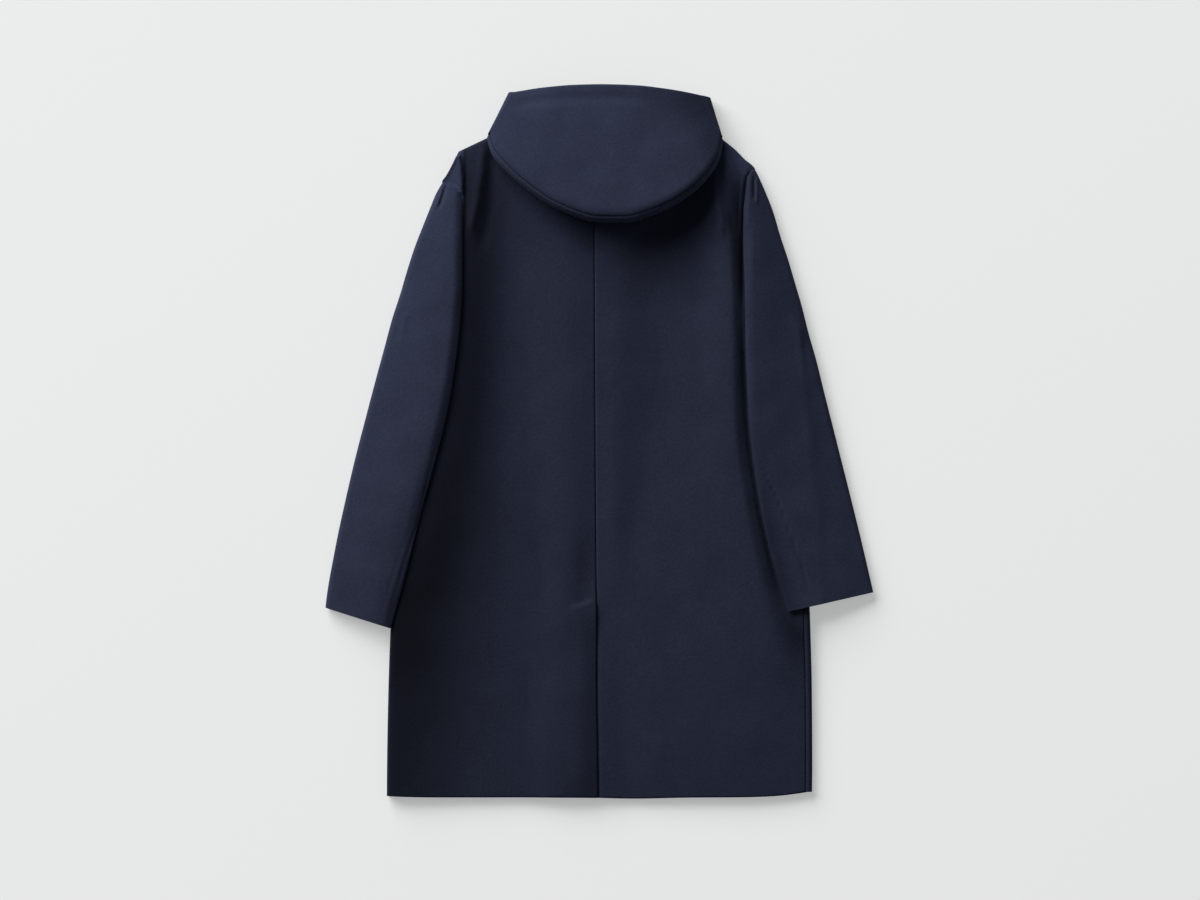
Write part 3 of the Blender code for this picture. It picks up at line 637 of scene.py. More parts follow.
# How far the pull of the centre seam carries it to the right, at each y.
SEAM_BEND = [
    (450, 2), (280, 2.2), (60, 3.1), (-60, 3.8), (-200, 4.8), (-360, 4.6), (-440, 5.8),
    (-524, 6.8),
]
BEND_REACH = 60.0           # how far the backs follow the bend of their seam


def bend_seam(x, y):
    """How far the pull of the centre seam carries the cloth to the right."""
    rows = np.array(SEAM_BEND)
    at = np.clip(-np.ravel(y), -rows[0, 0], -rows[-1, 0])
    pull = through(-rows[:, 0], rows[:, 1], at).reshape(np.shape(y))
    return pull * smooth(1.0 - np.abs(x - CENTRE_X) / BEND_REACH)


def tack_line(x):
    """The line that the vent's top is stitched along."""
    return VENT_TOP_Y + VENT_SLOPE * (x - CENTRE_X)


def lay(grid, height):
    """Lay a back's grid at its height, and bend it along the centre seam."""
    grid[..., 2] += height
    grid[..., 0] += bend_seam(grid[..., 0], grid[..., 1])
    return grid


# %% The two backs
def left_back():
    """The left back, lying over the other one's underlap below the vent's top."""
    grid = panel(LEFT_ROWS, CENTRE_X - SEAM_GAP / 2, BACK_TOP_LEFT, QUARTER_ROLL,
                 -1, True, BACK_SPACING)
    x, y = grid[..., 0], grid[..., 1]
    from_seam, tack_y = np.abs(x - x[:, :1]), tack_line(x)
    height = back_height(x, y) + relief(BACK_FOLDS, x, y)
    height += relief([Lip(TACK_RISE, TACK_REACH, TACK)], x, y)
    across = smooth((x - (CENTRE_X - VENT_LAP - VENT_SWELL)) / (VENT_SWELL - CLIMB_REST))
    height += (CLOTH + SEAM_GAP) * across * ramp(y - tack_y, *CLIMB_TACK)
    hollow = bell(x - HOLLOW_X, HOLLOW_WIDTH) * ramp(y, *HOLLOW_Y)
    height -= HOLLOW_DEPTH * hollow * ramp(y - tack_y, *HOLLOW_TACK)
    droop = np.clip(1.0 - from_seam / DROOP_REACH, 0.0, 1.0) ** 2
    height -= DROOP * droop * ramp(y - VENT_TOP_Y, *DROOP_VENT)
    free = ramp(y - VENT_TOP_Y, *FREE_VENT)
    height -= sink(from_seam, *SEAM_SINK) * mix(1.0, FREE_SINK, free)
    height -= sink(y - HEM_Y, *HEM_SINK)
    first = grid.shape[1] - len(QUARTER_ROLL)
    edge = height[:, first - 1:first]
    height[:, first:] = edge
    grid[:, first:, 2] *= np.where(y[:, first:] < ROLL_TOP_Y, edge / SIDE_RADIUS - 1.0, 1.0)
    return lay(grid, height)


def right_back():
    """The right back, with its underlap below the vent's top."""
    grid = panel(RIGHT_ROWS, CENTRE_X + SEAM_GAP / 2, BACK_TOP_RIGHT, np.array([]),
                 1, True, BACK_SPACING, lapped=True)
    x, y = grid[..., 0], grid[..., 1]
    height = back_height(x, y) + relief(BACK_FOLDS, x, y)
    under = ramp(y - VENT_TOP_Y, *UNDER_VENT) * ramp(x - CENTRE_X, *UNDER_X)
    height -= (CLOTH + 2 * SEAM_GAP) * under
    height -= sink(x - x[:, :1], *SEAM_SINK) * (1.0 - ramp(y - VENT_TOP_Y, *FREE_VENT))
    height -= sink(x[:, -1:] - x, *SIDE_SINK)
    height -= sink(y - y[:1], *HEM_SINK)
    return lay(grid, height)


# %% [markdown]
# ## Painted light and shade
#
# Light and shade are painted into the wool's colour: dark bands beside and below the
# left sleeve, under the hood and along the vent, and lighter places where light
# falls. Each dark band is a table. A row holds a y, the x of the band's middle
# there, how dark it is and how far it reaches.

# %% Painted light and shade on the backs
# Painted shade beside and below the left sleeve.
LEFT_SHADE = [
    (470, -160, 0.3, 30), (406, -163, 0.46, 30), (384, -166, 0.56, 31),
    (350, -170, 0.65, 36), (325, -173, 0.66, 39), (251, -180, 0.62, 40),
    (134, -182, 0.635, 39), (31, -193, 0.685, 42), (-87, -217, 0.73, 69),
    (-204, -250, 0.79, 80), (-292, -285, 0.79, 98), (-381, -284, 0.65, 100),
    (-484, -290, 0.54, 75), (-530, -290, 0.5, 70),
]
# Painted shade beside the right armhole and sleeve, and under its cuff.
RIGHT_SHADE = [
    (410, 205, 0.1, 12), (370, 201, 0.3, 14), (325, 202, 0.58, 13), (270, 207, 0.54, 10),
    (200, 210, 0.15, 8), (100, 213, 0, 8), (-43, 224, 0, 9), (-100, 233, 0.15, 10),
    (-204, 257, 0.52, 13), (-235, 266, 0.54, 18), (-262, 276, 0.52, 22),
    (-292, 294, 0.5, 25), (-345, 300, 0.08, 22), (-400, 304, 0, 22),
]
# The hood's painted shadow on the backs.
HOOD_SHADE = [
    (395, 150, 0.25, 20), (345, 146, 0.42, 27), (312, 130, 0.38, 56), (280, 94, 0.44, 72),
    (235, 80, 0.24, 80), (190, 78, 0, 70),
]
# More of the hood's painted shadow, below its left rim.
RIM_SHADE = [
    (362, -78, 0, 18), (342, -58, 0.22, 24), (322, -36, 0.32, 30), (300, -12, 0.38, 26),
    (275, -4, 0.12, 24),
]
# Painted shade along the vent's edge.
VENT_SHADE = [
    (-250, -14, 0, 20), (-300, -10, 0.16, 16), (-381, -9, 0.26, 16), (-454, -9, 0.3, 18),
    (-530, -14, 0.24, 30),
]
# Painted shade, darker towards the hem: how much, and from which y to which.
LEFT_LOWER = [(0.07, -60.0, -200.0), (0.10, -370.0, -500.0)]
RIGHT_LOWER = [(0.045, -292.0, -382.0), (0.045, -381.0, -481.0)]
# Painted shade: both backs a little darker overall, the left one more.
LEFT_TONE, RIGHT_TONE = 0.92, 0.95
# Painted shade in the hollow above the vent's stitched line.
HOLLOW_TONE, HOLLOW_TONE_X, HOLLOW_TONE_WIDTH = 0.12, -20.0, 14.0
HOLLOW_TONE_Y, BESIDE_TACK = (-110.0, -210.0), 4.0
CREASE_X, CREASE_WIDTH = -196.0, 2.5        # painted shade along the sharp crease beside the left armhole
CREASE_TONE, CREASE_Y = 0.5, (290.0, 330.0)
# Painted light on the cloth left of that crease, at the top of the shoulder.
PAST_CREASE, PAST_CREASE_TONE, PAST_CREASE_Y = (-2.0, -4.5), 1.5, (330.0, 350.0)
SHOULDER_X, SHOULDER_WIDTH = 206.0, 18.0    # painted light on the end of the right shoulder
SHOULDER_GLOW, SHOULDER_Y = 0.9, (365.0, 405.0)


def shaded(table, x, y, power=2):
    """Painted shade at x, y, from the bands of one table."""
    rows = np.array(table)
    at = np.clip(-np.ravel(y), -rows[0, 0], -rows[-1, 0])
    middle, depth, reach = through(-rows[:, 0], rows[:, 1:], at).T.reshape((3,) + np.shape(x))
    return 1.0 - depth * np.exp(-np.abs((x - middle) / reach) ** power)


def lower_tone(steps, y):
    """Painted shade, step by step darker towards the hem."""
    return 1.0 - sum(amount * ramp(y, start, end) for amount, start, end in steps)


def left_painted_shade(x, y):
    """Painted light and shade on the left back."""
    nap_and_painted_shade = LEFT_TONE * shaded(LEFT_SHADE, x, y) * shaded(HOOD_SHADE, x, y, 4)
    nap_and_painted_shade *= shaded(VENT_SHADE, x, y) * shaded(RIM_SHADE, x, y) * lower_tone(LEFT_LOWER, y)
    above_tack = ramp(y, *HOLLOW_TONE_Y) * ramp(y - tack_line(x - BESIDE_TACK), 0.0, 3.0)
    nap_and_painted_shade *= 1.0 - HOLLOW_TONE * above_tack * bell(x - HOLLOW_TONE_X, HOLLOW_TONE_WIDTH)
    nap_and_painted_shade *= 1.0 - CREASE_TONE * bell(x - CREASE_X, CREASE_WIDTH) * ramp(y, *CREASE_Y)
    past_crease = ramp(x - CREASE_X, *PAST_CREASE) * ramp(y, *PAST_CREASE_Y)
    return mix(nap_and_painted_shade, PAST_CREASE_TONE, past_crease)


def right_painted_shade(x, y):
    """Painted light and shade on the right back, lighter on the shoulder, clear of the hood."""
    nap_and_painted_shade = RIGHT_TONE * shaded(RIGHT_SHADE, x, y) * shaded(HOOD_SHADE, x, y, 4)
    nap_and_painted_shade *= 1.0 + SHOULDER_GLOW * bell(x - SHOULDER_X, SHOULDER_WIDTH) * ramp(y, *SHOULDER_Y)
    return nap_and_painted_shade * lower_tone(RIGHT_LOWER, y)


left, right = left_back(), right_back()
back_left = cloth("back_left", left, "body", flip=True, hemmed=True,
                  nap_and_painted_shade=left_painted_shade(left[..., 0], left[..., 1]))
back_right = cloth("back_right", right, "body", hemmed=True,
                   nap_and_painted_shade=right_painted_shade(right[..., 0], right[..., 1]))


# %% The two fronts, underneath
STRIP_TONE = 0.60           # painted shade on the narrow strip of the right front that shows
SIDE_TOP = (150.0, 110.0)   # where, in y, its side starts to follow the back's height


def front(rows, centre_x, top_edge, roll, side):
    """A front lying on the table; the right one climbs on the left one's edge."""
    grid = panel(rows, centre_x, top_edge, roll, side, False, FRONT_SPACING)
    if side > 0:
        foot = CENTRE_X + FLY_OVERLAP + CLIMB_REST + FLY_STEP
        grid[..., 2] += (CLOTH + SEAM_GAP) * smooth((foot - grid[..., 0]) / FLY_STEP)
        first = grid.shape[1] - len(roll)
        edge_x, edge_y = grid[:, first - 1:first, 0], grid[:, first - 1:first, 1]
        raised = (back_height(edge_x, edge_y) - BODY_HEIGHT) * ramp(edge_y, *SIDE_TOP)
        grid[:, first:, 2] *= 1.0 + raised / BODY_HEIGHT
    return grid


front_left = cloth("front_left", front(LEFT_ROWS, CENTRE_X + FLY_OVERLAP, FRONT_TOP_LEFT,
                                       QUARTER_ROLL, -1), "body", hemmed=True)
front_right = cloth("front_right", front(RIGHT_ROWS, CENTRE_X - FLY_OVERLAP, FRONT_TOP_RIGHT,
                                         WRAP_ROLL, 1), "body", flip=True, hemmed=True,
                    nap_and_painted_shade=STRIP_TONE)

# %% [markdown]
# ## Sleeves
#
# A sleeve is a tube lying flat. Its inner part lies on the body, and its outer
# part comes down to the table. Each ring is a flattened loop: a top that slopes
# away from the body, two rounded folds, and an underside that follows whatever
# it lies on.

# %% Rings of a sleeve
# `lift` is how much of the body's height the underside takes up: less than 1 only
# where the armhole starts.
SleeveRing = namedtuple("SleeveRing", "inner_x inner_y outer_x outer_y over_body top_in top_out"
                        " lift", defaults=(1.0,))

SLEEVE_LEFT = rows_of(SleeveRing, [
    (-200.5, 364.5, -228.7, 379.5, 0, 9, 7, 0), (-199, 362, -230.2, 377.5, 5, 17.5, 11, 0.6),
    (-199, 346, -239, 362, 6, 20.5, 10.5), (-199, 325, -247.6, 341, 6, 23.5, 11),
    (-199, 299, -257.6, 316, 6, 26, 11.5), (-199, 266, -270, 284, 13, 28, 12),
    (-199, 229, -281, 250, 35, 29.5, 12), (-201, 190, -291, 216, 56, 30.5, 12.5),
    (-205, 148, -303, 179, 82, 31, 12.5), (-211, 105, -314, 138, 80, 31, 12.5),
    (-218, 60, -326, 94, 72, 30.5, 12.5), (-233, -6, -343.4, 28, 60, 29.5, 12),
    (-246, -54, -355.9, -20, 50, 28.5, 11.5), (-259, -101, -367.3, -68, 40, 27.5, 11),
    (-281, -190, -386.7, -158, 22, 25.5, 11), (-302.9, -270.6, -400.5, -240, 6, 23, 10.5),
    (-303.9, -274.6, -400.9, -244.6, 5, 23, 10.5),
])
SLEEVE_RIGHT = rows_of(SleeveRing, [
    (219.8, 387, 230.4, 397.2, 0, 8, 7, 0), (218.3, 385, 231.4, 395.6, 4, 14, 10, 0.6),
    (215.6, 362, 245, 366, 6, 17, 10), (212.8, 338, 256, 338, 6, 20, 10.5),
    (212.4, 304, 267, 301, 6, 22.5, 11), (213, 266, 278.6, 266, 12, 24.5, 11),
    (214.6, 229, 288, 234, 30, 25, 11), (215, 190, 298, 200, 54, 25, 11),
    (215.4, 148, 308.6, 158, 80, 25, 11), (217, 105, 319.7, 119, 80, 24.5, 11),
    (219.4, 55, 330.8, 74, 81, 23.5, 11), (225, -6, 345, 18, 82, 21.5, 10.5),
    (232.4, -54, 356.6, -28, 77, 20.5, 10.5), (240.8, -105, 369.2, -78, 77, 20, 10),
    (258.8, -182, 387.6, -153, 62, 20, 10), (276.4, -246, 402.6, -218, 48, 20.4, 10),
    (277, -250, 403.5, -222, 47, 20.4, 10),
])
SLEEVE_FALL, LEAST_FALL, TOP_BEND = 42.0, 12.0, 1.7
SEWN_REST = 0.27            # how high the inner fold stands beside the armhole
SEWN_FROM, SEWN_UNTIL, SEWN_FADE = 15.0, 110.0, 60.0    # mm down the sleeve
ARMHOLE_ARC, ARC_LENGTH = 5.0, 70.0
INNER_FOLD, OUTER_FOLD = (14.0, 0.32), (7.0, 0.2)       # width, and its largest share
TUBE_SPACE, TUBE_EASE = 0.6, 1.6                        # inside the flattened tube
SLEEVE_SPACING, FOLD_CUTS, FLAT_CUTS, CALM_EDGE = 3.0, 9, 38, 5.0
LEFT_FOLDS = [
    Fold(1.1, -1.1, [(-236, 0), (-266, -124), (-288, -190), (-311, -268)]),
    Fold(3, -0.5, [(-246, 0), (-276, -124), (-298, -190), (-320, -262)]),
    Fold(3, -1.8, [(-223, 380), (-227, 362), (-234, 338)]),
    Fold(2.4, 1.2, [(-227, 378), (-231, 362), (-240, 338)]),
]
RIGHT_FOLDS = [
    Fold(1.1, -1.1, [(222, 0), (259.5, -79), (285, -145), (300, -190), (317, -243)]),
    Fold(3, 1.5, [(221, 392), (221, 370), (219, 335), (217, 300)]),
    Fold(2.2, -1.5, [(228, 392), (228, 372), (228, 350)]),
    Fold(2.2, 1.2, [(232.5, 390), (232.5, 368), (232, 345)]),
]


def sleeve(table, folds, rest, bed):
    """A flattened tube, ring by ring, with its creases on the upper side.

    rest is how high the inner fold stands between the underside and the top, away
    from the armhole, and bed holds the grooves of the back that the underside
    sinks into.
    """
    rings = finer(table, SLEEVE_SPACING, True, True, measured=4)
    inner, outer = rings[:, None, 0:2], rings[:, None, 2:4]
    over, top_in, top_out, lift = (rings[:, None, c] for c in (4, 5, 6, 7))
    width = np.linalg.norm(outer - inner, axis=2)
    curl = 1.0 - np.cos(np.linspace(0.0, math.pi / 2, FOLD_CUTS))
    flat = np.linspace(0.0, 1.0, FLAT_CUTS)[1:-1]
    inner_end = np.minimum(INNER_FOLD[0], width * INNER_FOLD[1])
    outer_end = np.minimum(OUTER_FOLD[0], width * OUTER_FOLD[1])
    offsets = np.concatenate([inner_end * curl,
                              inner_end + (width - inner_end - outer_end) * flat,
                              width - outer_end * curl[::-1]], axis=1)
    share = offsets / width
    plan = inner + (outer - inner) * share[..., None]
    down = np.linalg.norm(rings[:, 0:2] - rings[0, 0:2], axis=1)[:, None]
    arc = ARMHOLE_ARC * np.sin(math.pi * share) * (1.0 - smooth(down / ARC_LENGTH))
    x, y = plan[..., 0], plan[..., 1] + arc
    fall = np.minimum(SLEEVE_FALL, np.maximum(width - over, LEAST_FALL))
    bed_height = np.maximum(back_height(x, y) + relief(bed, x, y), 0.0)
    bottom = (bed_height + SEAM_GAP) * lift * (1.0 - smooth((offsets - over) / fall))
    top = mix(top_in, top_out, share ** TOP_BEND)
    least = bottom + 2 * CLOTH + TUBE_SPACE
    top = least + ((top - least) + np.hypot(top - least, TUBE_EASE)) / 2
    edge = np.clip(np.minimum(offsets / inner_end, (width - offsets) / outer_end), 0.0, 1.0)
    round_share = np.sqrt(1.0 - (1.0 - edge) ** 2)
    sewn = smooth(down / SEWN_FROM) * (1.0 - ramp(down, SEWN_UNTIL, SEWN_UNTIL + SEWN_FADE))
    share_up = mix(mix(rest, SEWN_REST, sewn), 0.5, smooth(offsets / inner_end))
    middle, half = mix(bottom, top, share_up), (top - bottom) / 2 * round_share
    inside = smooth(np.minimum(offsets, width - offsets) / CALM_EDGE)
    waves = unevenness(x, y, size=60.0, height=0.35, turn=0.8)
    upper = middle + half + relief(folds, x, y) + waves * inside
    lower = np.maximum(middle - half, bottom)
    upper_points = np.stack([x, y, upper], axis=-1)
    lower_points = np.stack([x, y, lower], axis=-1)[:, ::-1][:, 1:-1]
    return np.concatenate([upper_points, lower_points], axis=1)


def sleeve_depth(grid):
    """How far each point lies from the armhole, along its own line of the sleeve."""
    steps = np.linalg.norm(np.diff(grid, axis=0), axis=2)
    return np.concatenate([np.zeros((1, grid.shape[1])), np.cumsum(steps, axis=0)])


# %% Painted light and shade on the sleeves
# Painted shade along the left sleeve's inner fold.
LEFT_SLEEVE_SHADE = [
    (380, -199, 0, 15), (150, -205, 0.12, 16), (60, -218, 0.18, 20), (-43, -243, 0.26, 24),
    (-145, -270, 0.33, 27), (-260, -298, 0.38, 26),
]
# Painted shade along the right sleeve's inner fold, deepest towards the cuff.
RIGHT_SLEEVE_SHADE = [
    (400, 212, 0, 14), (60, 217, 0.15, 14), (-43, 232, 0.34, 14), (-145, 250, 0.52, 15),
    (-240, 272, 0.56, 16),
]
# Painted light over the whole left sleeve, and painted shade towards its cuff.
LEFT_SLEEVE_TONE, CUFF_TONE, CUFF_Y = 1.18, 0.12, (60.0, -240.0)
FOLD_GLOW, FOLD_COLUMNS, FOLD_Y = 1.2, 4.0, (230.0, 110.0)      # painted highlight on its inner fold
SEWN_SHADE, SEWN_REACH = 0.45, 2.2          # painted shade: a dark line where that sleeve is sewn in


def left_sleeve_painted_shade(grid):
    """Painted light and shade on the left sleeve: a painted highlight along its inner fold,
    painted shade at the armhole.
    """
    x, y = grid[..., 0], grid[..., 1]
    nap_and_painted_shade = LEFT_SLEEVE_TONE * shaded(LEFT_SLEEVE_SHADE, x, y) - CUFF_TONE * ramp(y, *CUFF_Y)
    nap_and_painted_shade *= 1.0 + FOLD_GLOW * bell(np.arange(grid.shape[1]), FOLD_COLUMNS) * ramp(y, *FOLD_Y)
    return nap_and_painted_shade * (1.0 - SEWN_SHADE * bell(sleeve_depth(grid), SEWN_REACH))


grid_left = sleeve(SLEEVE_LEFT, LEFT_FOLDS, SEWN_REST, [])
sleeve_left = cloth("sleeve_left", grid_left, "sleeves", ring=True,
                    nap_and_painted_shade=left_sleeve_painted_shade(grid_left))
grid_right = sleeve(SLEEVE_RIGHT, RIGHT_FOLDS, 0.5, [ARMHOLE])
sleeve_right = cloth("sleeve_right", grid_right, "sleeves", ring=True, flip=True,
                     nap_and_painted_shade=shaded(RIGHT_SLEEVE_SHADE, grid_right[..., 0], grid_right[..., 1]))

# %% [markdown]
# ## Hood
#
# The hood lies folded back on the shoulders. Its back is a shallow bowl from the
# neck down to the rim; its front is a deep band from the crosswise seam, over
# the crown, to the face edge, and its two ends wrap round underneath to the
# front neckline. Both are laid out along lines that run from rim to lip.

# %% Lines of the hood
# The last five numbers are the cloth's heights: at the rim, at three places on
# the way over the crown, and at the lip.
Meridian = namedtuple("Meridian", "neck_x neck_y rim_x rim_y lip_x lip_y rim rear crown front lip")
CROWN_SHARES = np.array([0.0, 0.3, 0.65, 0.87, 1.0])

HOOD_MERIDIANS = rows_of(Meridian, [
    (-83, 462, -164, 443, -124, 511, 26, 25.5, 24, 22.5, 21),
    (-72, 456, -156.5, 420, -108, 513.2, 31, 30.5, 28.5, 26.5, 25),
    (-58, 450, -137.5, 396.5, -88, 516, 37, 36, 33, 31, 29),
    (-42, 445, -101.5, 365, -62, 518.4, 42.5, 41, 37.5, 35, 33),
    (-24, 441, -57, 336.8, -34, 520.1, 46.5, 44.5, 41, 38, 36),
    (-2, 439, 2, 319.2, 0, 520.6, 49, 47, 43.5, 40.5, 38.5),
    (16, 440, 38, 318.6, 26, 520.2, 50.5, 48, 44.5, 41.5, 39.5),
    (36, 442, 80.5, 330, 58, 518.8, 51, 48, 44, 40.5, 39),
    (54, 446, 122.5, 351, 88, 515.9, 49, 46, 41, 37, 35.5),
    (70, 451, 159.5, 383, 115, 512.3, 42, 40.5, 36.5, 32.5, 31),
    (84, 457, 178.6, 416, 135, 509, 31, 31.5, 30, 27.5, 26.5),
    (93, 462, 183, 440, 151.5, 506, 23, 23.5, 23, 22, 21),
])
FoldLine = namedtuple("FoldLine", "rear_x rear_y mouth_x mouth_y")
LEFT_FOLD = FoldLine(-162.0, 449.8, -132.0, 511.0)
RIGHT_FOLD = FoldLine(181.2, 447.0, 164.2, 503.4)
HoodEnd = namedtuple("HoodEnd", "sewn_x sewn_y sewn_z face_x face_y")
LEFT_END = rows_of(HoodEnd, [
    (-146, 456.2, REST_ON_BODY, -120, 505), (-114, 461.6, REST_ON_BODY, -103, 499),
    (-96, 469, REST_ON_BODY, -92, 494), (-84, 471, 0, -80, 486), (-74.6, 429.9, 0, -54, 447),
    (-42.5, 397.1, 0, -30, 418), (-8.6, 384.8, 0, -8.6, 404),
])
RIGHT_END = rows_of(HoodEnd, [
    (165, 454.6, REST_ON_BODY, 150, 500), (126, 461.4, REST_ON_BODY, 118, 497),
    (106, 469, REST_ON_BODY, 102, 493), (94, 471, 0, 86, 486), (83.2, 429.9, 0, 60, 447),
    (49.6, 397.1, 0, 34, 418), (28.7, 388.7, 0, 16, 409), (-7.4, 384.8, 0, -7.4, 404),
])
HOOD_DEPTH, HOOD_SPACING = 190.0, 2.8
HOOD_ROLL, HOOD_SEAM_INSET, HOOD_CORNER_EASE = 8.0, 9.0, 0.6
END_FLAT, LEAVE_RATE = 0.12, 3.0    # where the ends leave the shoulder, and how soon
RIM_SINK, RIM_ROUND, LIP_SINK = 4.2, 14.0, (1.6, 3.4)
SEAM_STEPS = [(0.45, 0.1), (0.8, 0.4), (1.0, 1.0)]      # way to the seam, drop in mm
ROLL_STEP, NECK_STEP, END_SPACING = 12.0, 0.035, 4.0    # degrees, share, mm
meridians = finer(HOOD_MERIDIANS, HOOD_SPACING * 1.1, measured=4)
print(len(meridians), "lines from rim to lip")


# %% The hood's back
def inward_ways(lines):
    """Unit directions in plan from each line's rim to its lip."""
    way = lines[:, 4:6] - lines[:, 2:4]
    return way / np.linalg.norm(way, axis=1)[:, None]


def seam_points(lines, beyond):
    """The crosswise seam's edge: -1 on the back, 1 on the front."""
    ease = np.full(len(lines), SEAM_GAP / 2)
    ease[[0, -1]] = HOOD_CORNER_EASE
    ease[[1, -2]] = HOOD_CORNER_EASE / 2
    return lines[:, 2:4] + inward_ways(lines) * (HOOD_SEAM_INSET + beyond * ease)[:, None]


def hood_back_grid():
    """Down the back from the neck, round the rim and up to the crosswise seam."""
    neck, rim = meridians[:, 0:2], meridians[:, 2:4]
    inward, rim_top = inward_ways(meridians), meridians[:, 6] - RIM_SINK
    start = rim + inward * HOOD_ROLL
    columns = []
    for share in cuts(1.0, NECK_STEP):
        plan = mix(neck, start, share)
        low = back_height(plan[:, 0], plan[:, 1]) + SEAM_GAP
        columns.append(np.column_stack([plan, low]))
    middle, radius = (low + rim_top) / 2, (rim_top - low) / 2
    for turn in np.radians(np.arange(ROLL_STEP, 181.0, ROLL_STEP)):
        reach = HOOD_ROLL * (1.0 - math.sin(turn))
        columns.append(np.column_stack([rim + inward * reach, middle - radius * math.cos(turn)]))
    last, end = columns[-1], np.column_stack([seam_points(meridians, -1), rim_top])
    for share, drop in SEAM_STEPS:
        columns.append(mix(last, end, share) - np.array([0.0, 0.0, drop]))
    return np.stack(columns, axis=1)


# Painted shade towards the two corners of the face edge: x, y, the reach along
# each, and the depth.
HOOD_CORNERS = [(146.0, 492.0, 50.0, 42.0, 0.45), (-138.0, 496.0, 34.0, 26.0, 0.20)]
# Painted light: the whole hood is made lighter.
HOOD_TONE = 1.3


def hood_painted_shade(grid):
    """Painted shade on the hood: darker towards the corners of the face edge."""
    tone = np.full(grid.shape[:2], HOOD_TONE)
    for x, y, across, along, depth in HOOD_CORNERS:
        away = ((grid[..., 0] - x) / across) ** 2 + ((grid[..., 1] - y) / along) ** 2
        tone *= 1.0 - depth * np.exp(-away)
    return tone


grid_hood_back = hood_back_grid()
hood_back = cloth("hood_back", grid_hood_back, "hood", flip=True, nap_and_painted_shade=hood_painted_shade(grid_hood_back))

# %% The hood's front
CROWN_SINK = Fold(8.0, -1.2, [(-150, 480), (-128, 490), (-88, 497), (-34, 501), (26, 501),
                              (88, 497)])


def hood_end(ends, fold, edge_line, shares):
    """Lines round one side's fold, then under it to the front neckline."""
    rest = 1.0 - smooth((shares - END_FLAT) * LEAVE_RATE)
    low, top = REST_ON_BODY * rest, edge_line[:, 2]
    columns = []
    for turn in np.radians(np.arange(ROLL_STEP, 180.0, ROLL_STEP)):
        inset = 1.0 - math.sin(turn)
        columns.append(np.column_stack([
            mix(mix(fold.rear_x, fold.mouth_x, shares), edge_line[:, 0], inset),
            mix(mix(fold.rear_y, fold.mouth_y, shares), edge_line[:, 1], inset),
            (low + top) / 2 + (top - low) / 2 * math.cos(turn)]))
    for end in finer(ends, END_SPACING):
        columns.append(np.column_stack([mix(end[0], end[3], shares),
                                        mix(end[1], end[4], shares), end[2] * rest]))
    return np.array(columns)


def hood_front_grid():
    """A band from the crosswise seam to the lip, wrapped round at both ends."""
    depth = cuts(HOOD_DEPTH, HOOD_SPACING, True, True)
    shares = depth / HOOD_DEPTH
    seam, lip = seam_points(meridians, 1), meridians[:, 4:6]
    plan = mix(seam[:, None], lip[:, None], shares[None, :, None])
    crown = through(CROWN_SHARES, meridians[:, 6:11].T, shares).T
    lens = np.concatenate([plan, crown[..., None]], axis=2)
    left_end = hood_end(LEFT_END, LEFT_FOLD, lens[0], shares)
    right_end = hood_end(RIGHT_END, RIGHT_FOLD, lens[-1], shares)
    x, y = lens[..., 0], lens[..., 1]
    waves = unevenness(x, y, size=70.0, height=0.4, turn=0.4)
    lens[..., 2] += relief([CROWN_SINK], x, y) + waves
    lens[..., 2] -= sink(depth, RIM_SINK, RIM_ROUND) + sink(HOOD_DEPTH - depth, *LIP_SINK)
    return np.concatenate([left_end[::-1], lens, right_end])


grid_hood_front = hood_front_grid()
hood_front = cloth("hood_front", grid_hood_front, "hood", flip=True,
                   nap_and_painted_shade=hood_painted_shade(grid_hood_front))

# %% [markdown]
# ## What each piece was cut to
# Cloth hardly stretches, so the area of a finished piece is the area of its cut.

# %% [markdown]
# ## Table, light and camera
#
# A pale table, one very broad soft light from the upper left, and a low fill
# from all round. The camera hangs straight above.

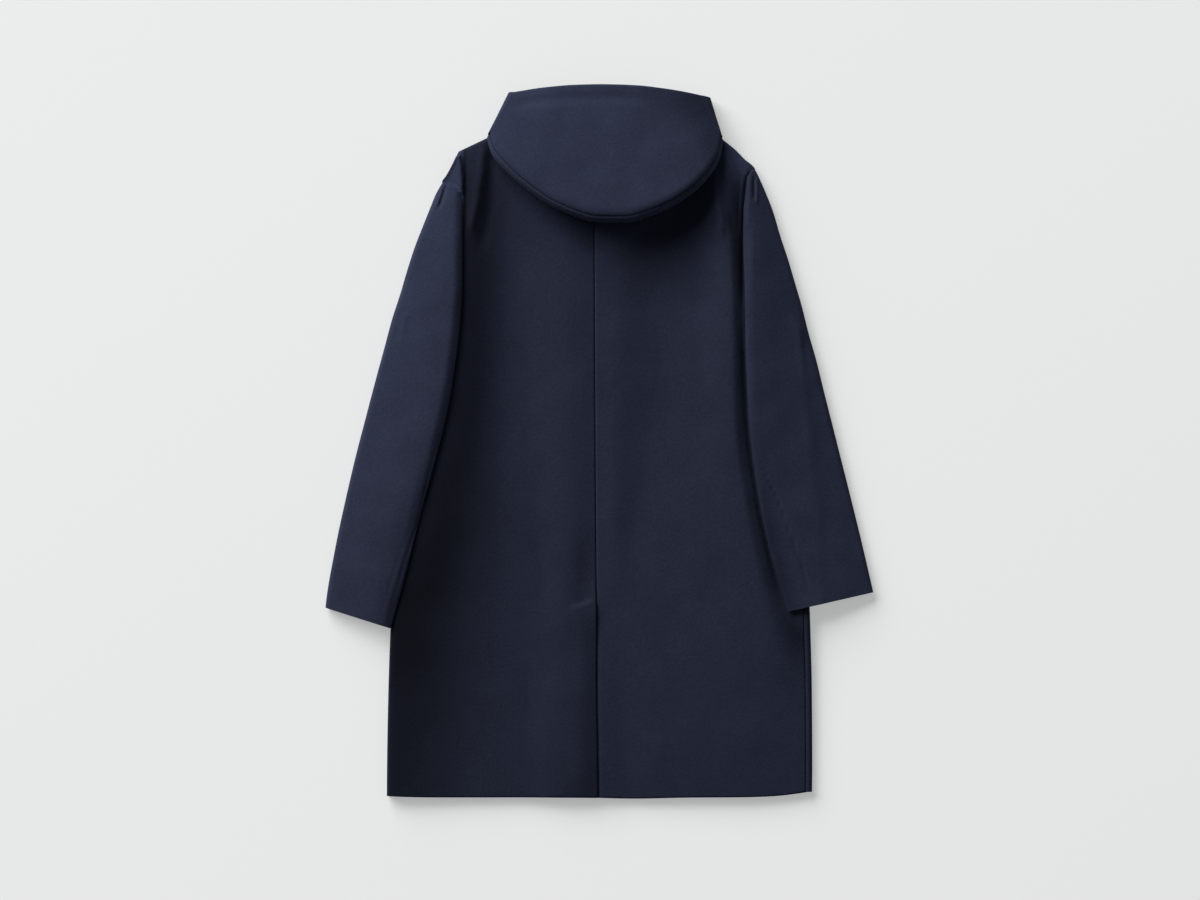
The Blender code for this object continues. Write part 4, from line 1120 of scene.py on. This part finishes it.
# %% The table
HALF_TABLE, TABLE_DROP = 5.0, 0.0006        # metres
TABLE_DARK, TABLE_LIGHT = (0.622, 0.622, 0.622, 1.0), (0.632, 0.632, 0.632, 1.0)
table_finish = Finish("pale table")
table_place = table_finish.add("ShaderNodeTexCoord", {}, {}, "Object")
grain = table_finish.noise(table_place, size=9.0)
paint = table_finish.add("ShaderNodeMix", {"data_type": "RGBA"},
                         {"Factor_Float": grain, "A_Color": TABLE_DARK,
                          "B_Color": TABLE_LIGHT}, "Result_Color")
pale = table_finish.surface({"Base Color": paint, "Roughness": 0.95,
                             "Specular IOR Level": 0.0,
                             "Emission Color": (1.0, 1.0, 1.0, 1.0),
                             "Emission Strength": 0.355})
corners = [(-HALF_TABLE, -HALF_TABLE, 0.0), (HALF_TABLE, -HALF_TABLE, 0.0),
           (HALF_TABLE, HALF_TABLE, 0.0), (-HALF_TABLE, HALF_TABLE, 0.0)]
table_mesh = bpy.data.meshes.new("table")
table_mesh.from_pydata(corners, [], [(0, 1, 2, 3)])
table_mesh.materials.append(pale)
table = placed("table", table_mesh)
table.location.z = -TABLE_DROP

# %% The lights
KEY_DISTANCE, KEY_TURN, KEY_RISE = 26.0, math.radians(38.0), math.radians(22.0)
KEY_SIZE, KEY_POWER = (26.0, 14.0), 12300.0
FILL_COLOUR, FILL = (0.93, 0.97, 1.0, 1.0), 0.15
key_data = bpy.data.lights.new("window light", "AREA")
key_data.shape = "RECTANGLE"
key_data.size, key_data.size_y = KEY_SIZE
key_data.energy = KEY_POWER
key = placed("window light", key_data)
key.location = (-math.sin(KEY_TURN) * math.cos(KEY_RISE) * KEY_DISTANCE,
                math.cos(KEY_TURN) * math.cos(KEY_RISE) * KEY_DISTANCE,
                math.sin(KEY_RISE) * KEY_DISTANCE)
key.rotation_euler = key.location.to_track_quat("Z", "Y").to_euler()

world = bpy.data.worlds.new("soft room")
world.use_nodes = True
sky = world.node_tree.nodes["Background"]
sky.inputs["Color"].default_value = FILL_COLOUR
sky.inputs["Strength"].default_value = FILL
bpy.context.scene.world = world

# %% The camera
LENS, SENSOR, VIEW_WIDTH = 100.0, 36.0, 1764.0
VIEW_X, VIEW_Y = 2.2, -13.2
camera_data = bpy.data.cameras.new("camera")
camera_data.lens = LENS
camera_data.sensor_width = SENSOR
camera_data.clip_end = 60.0
camera = placed("camera", camera_data)
camera.location = ((VIEW_X + SHIFT_X) * MM, (VIEW_Y + SHIFT_Y) * MM,
                   VIEW_WIDTH * LENS / SENSOR * MM)
bpy.context.scene.camera = camera
bpy.context.scene.view_settings.view_transform = "Standard"
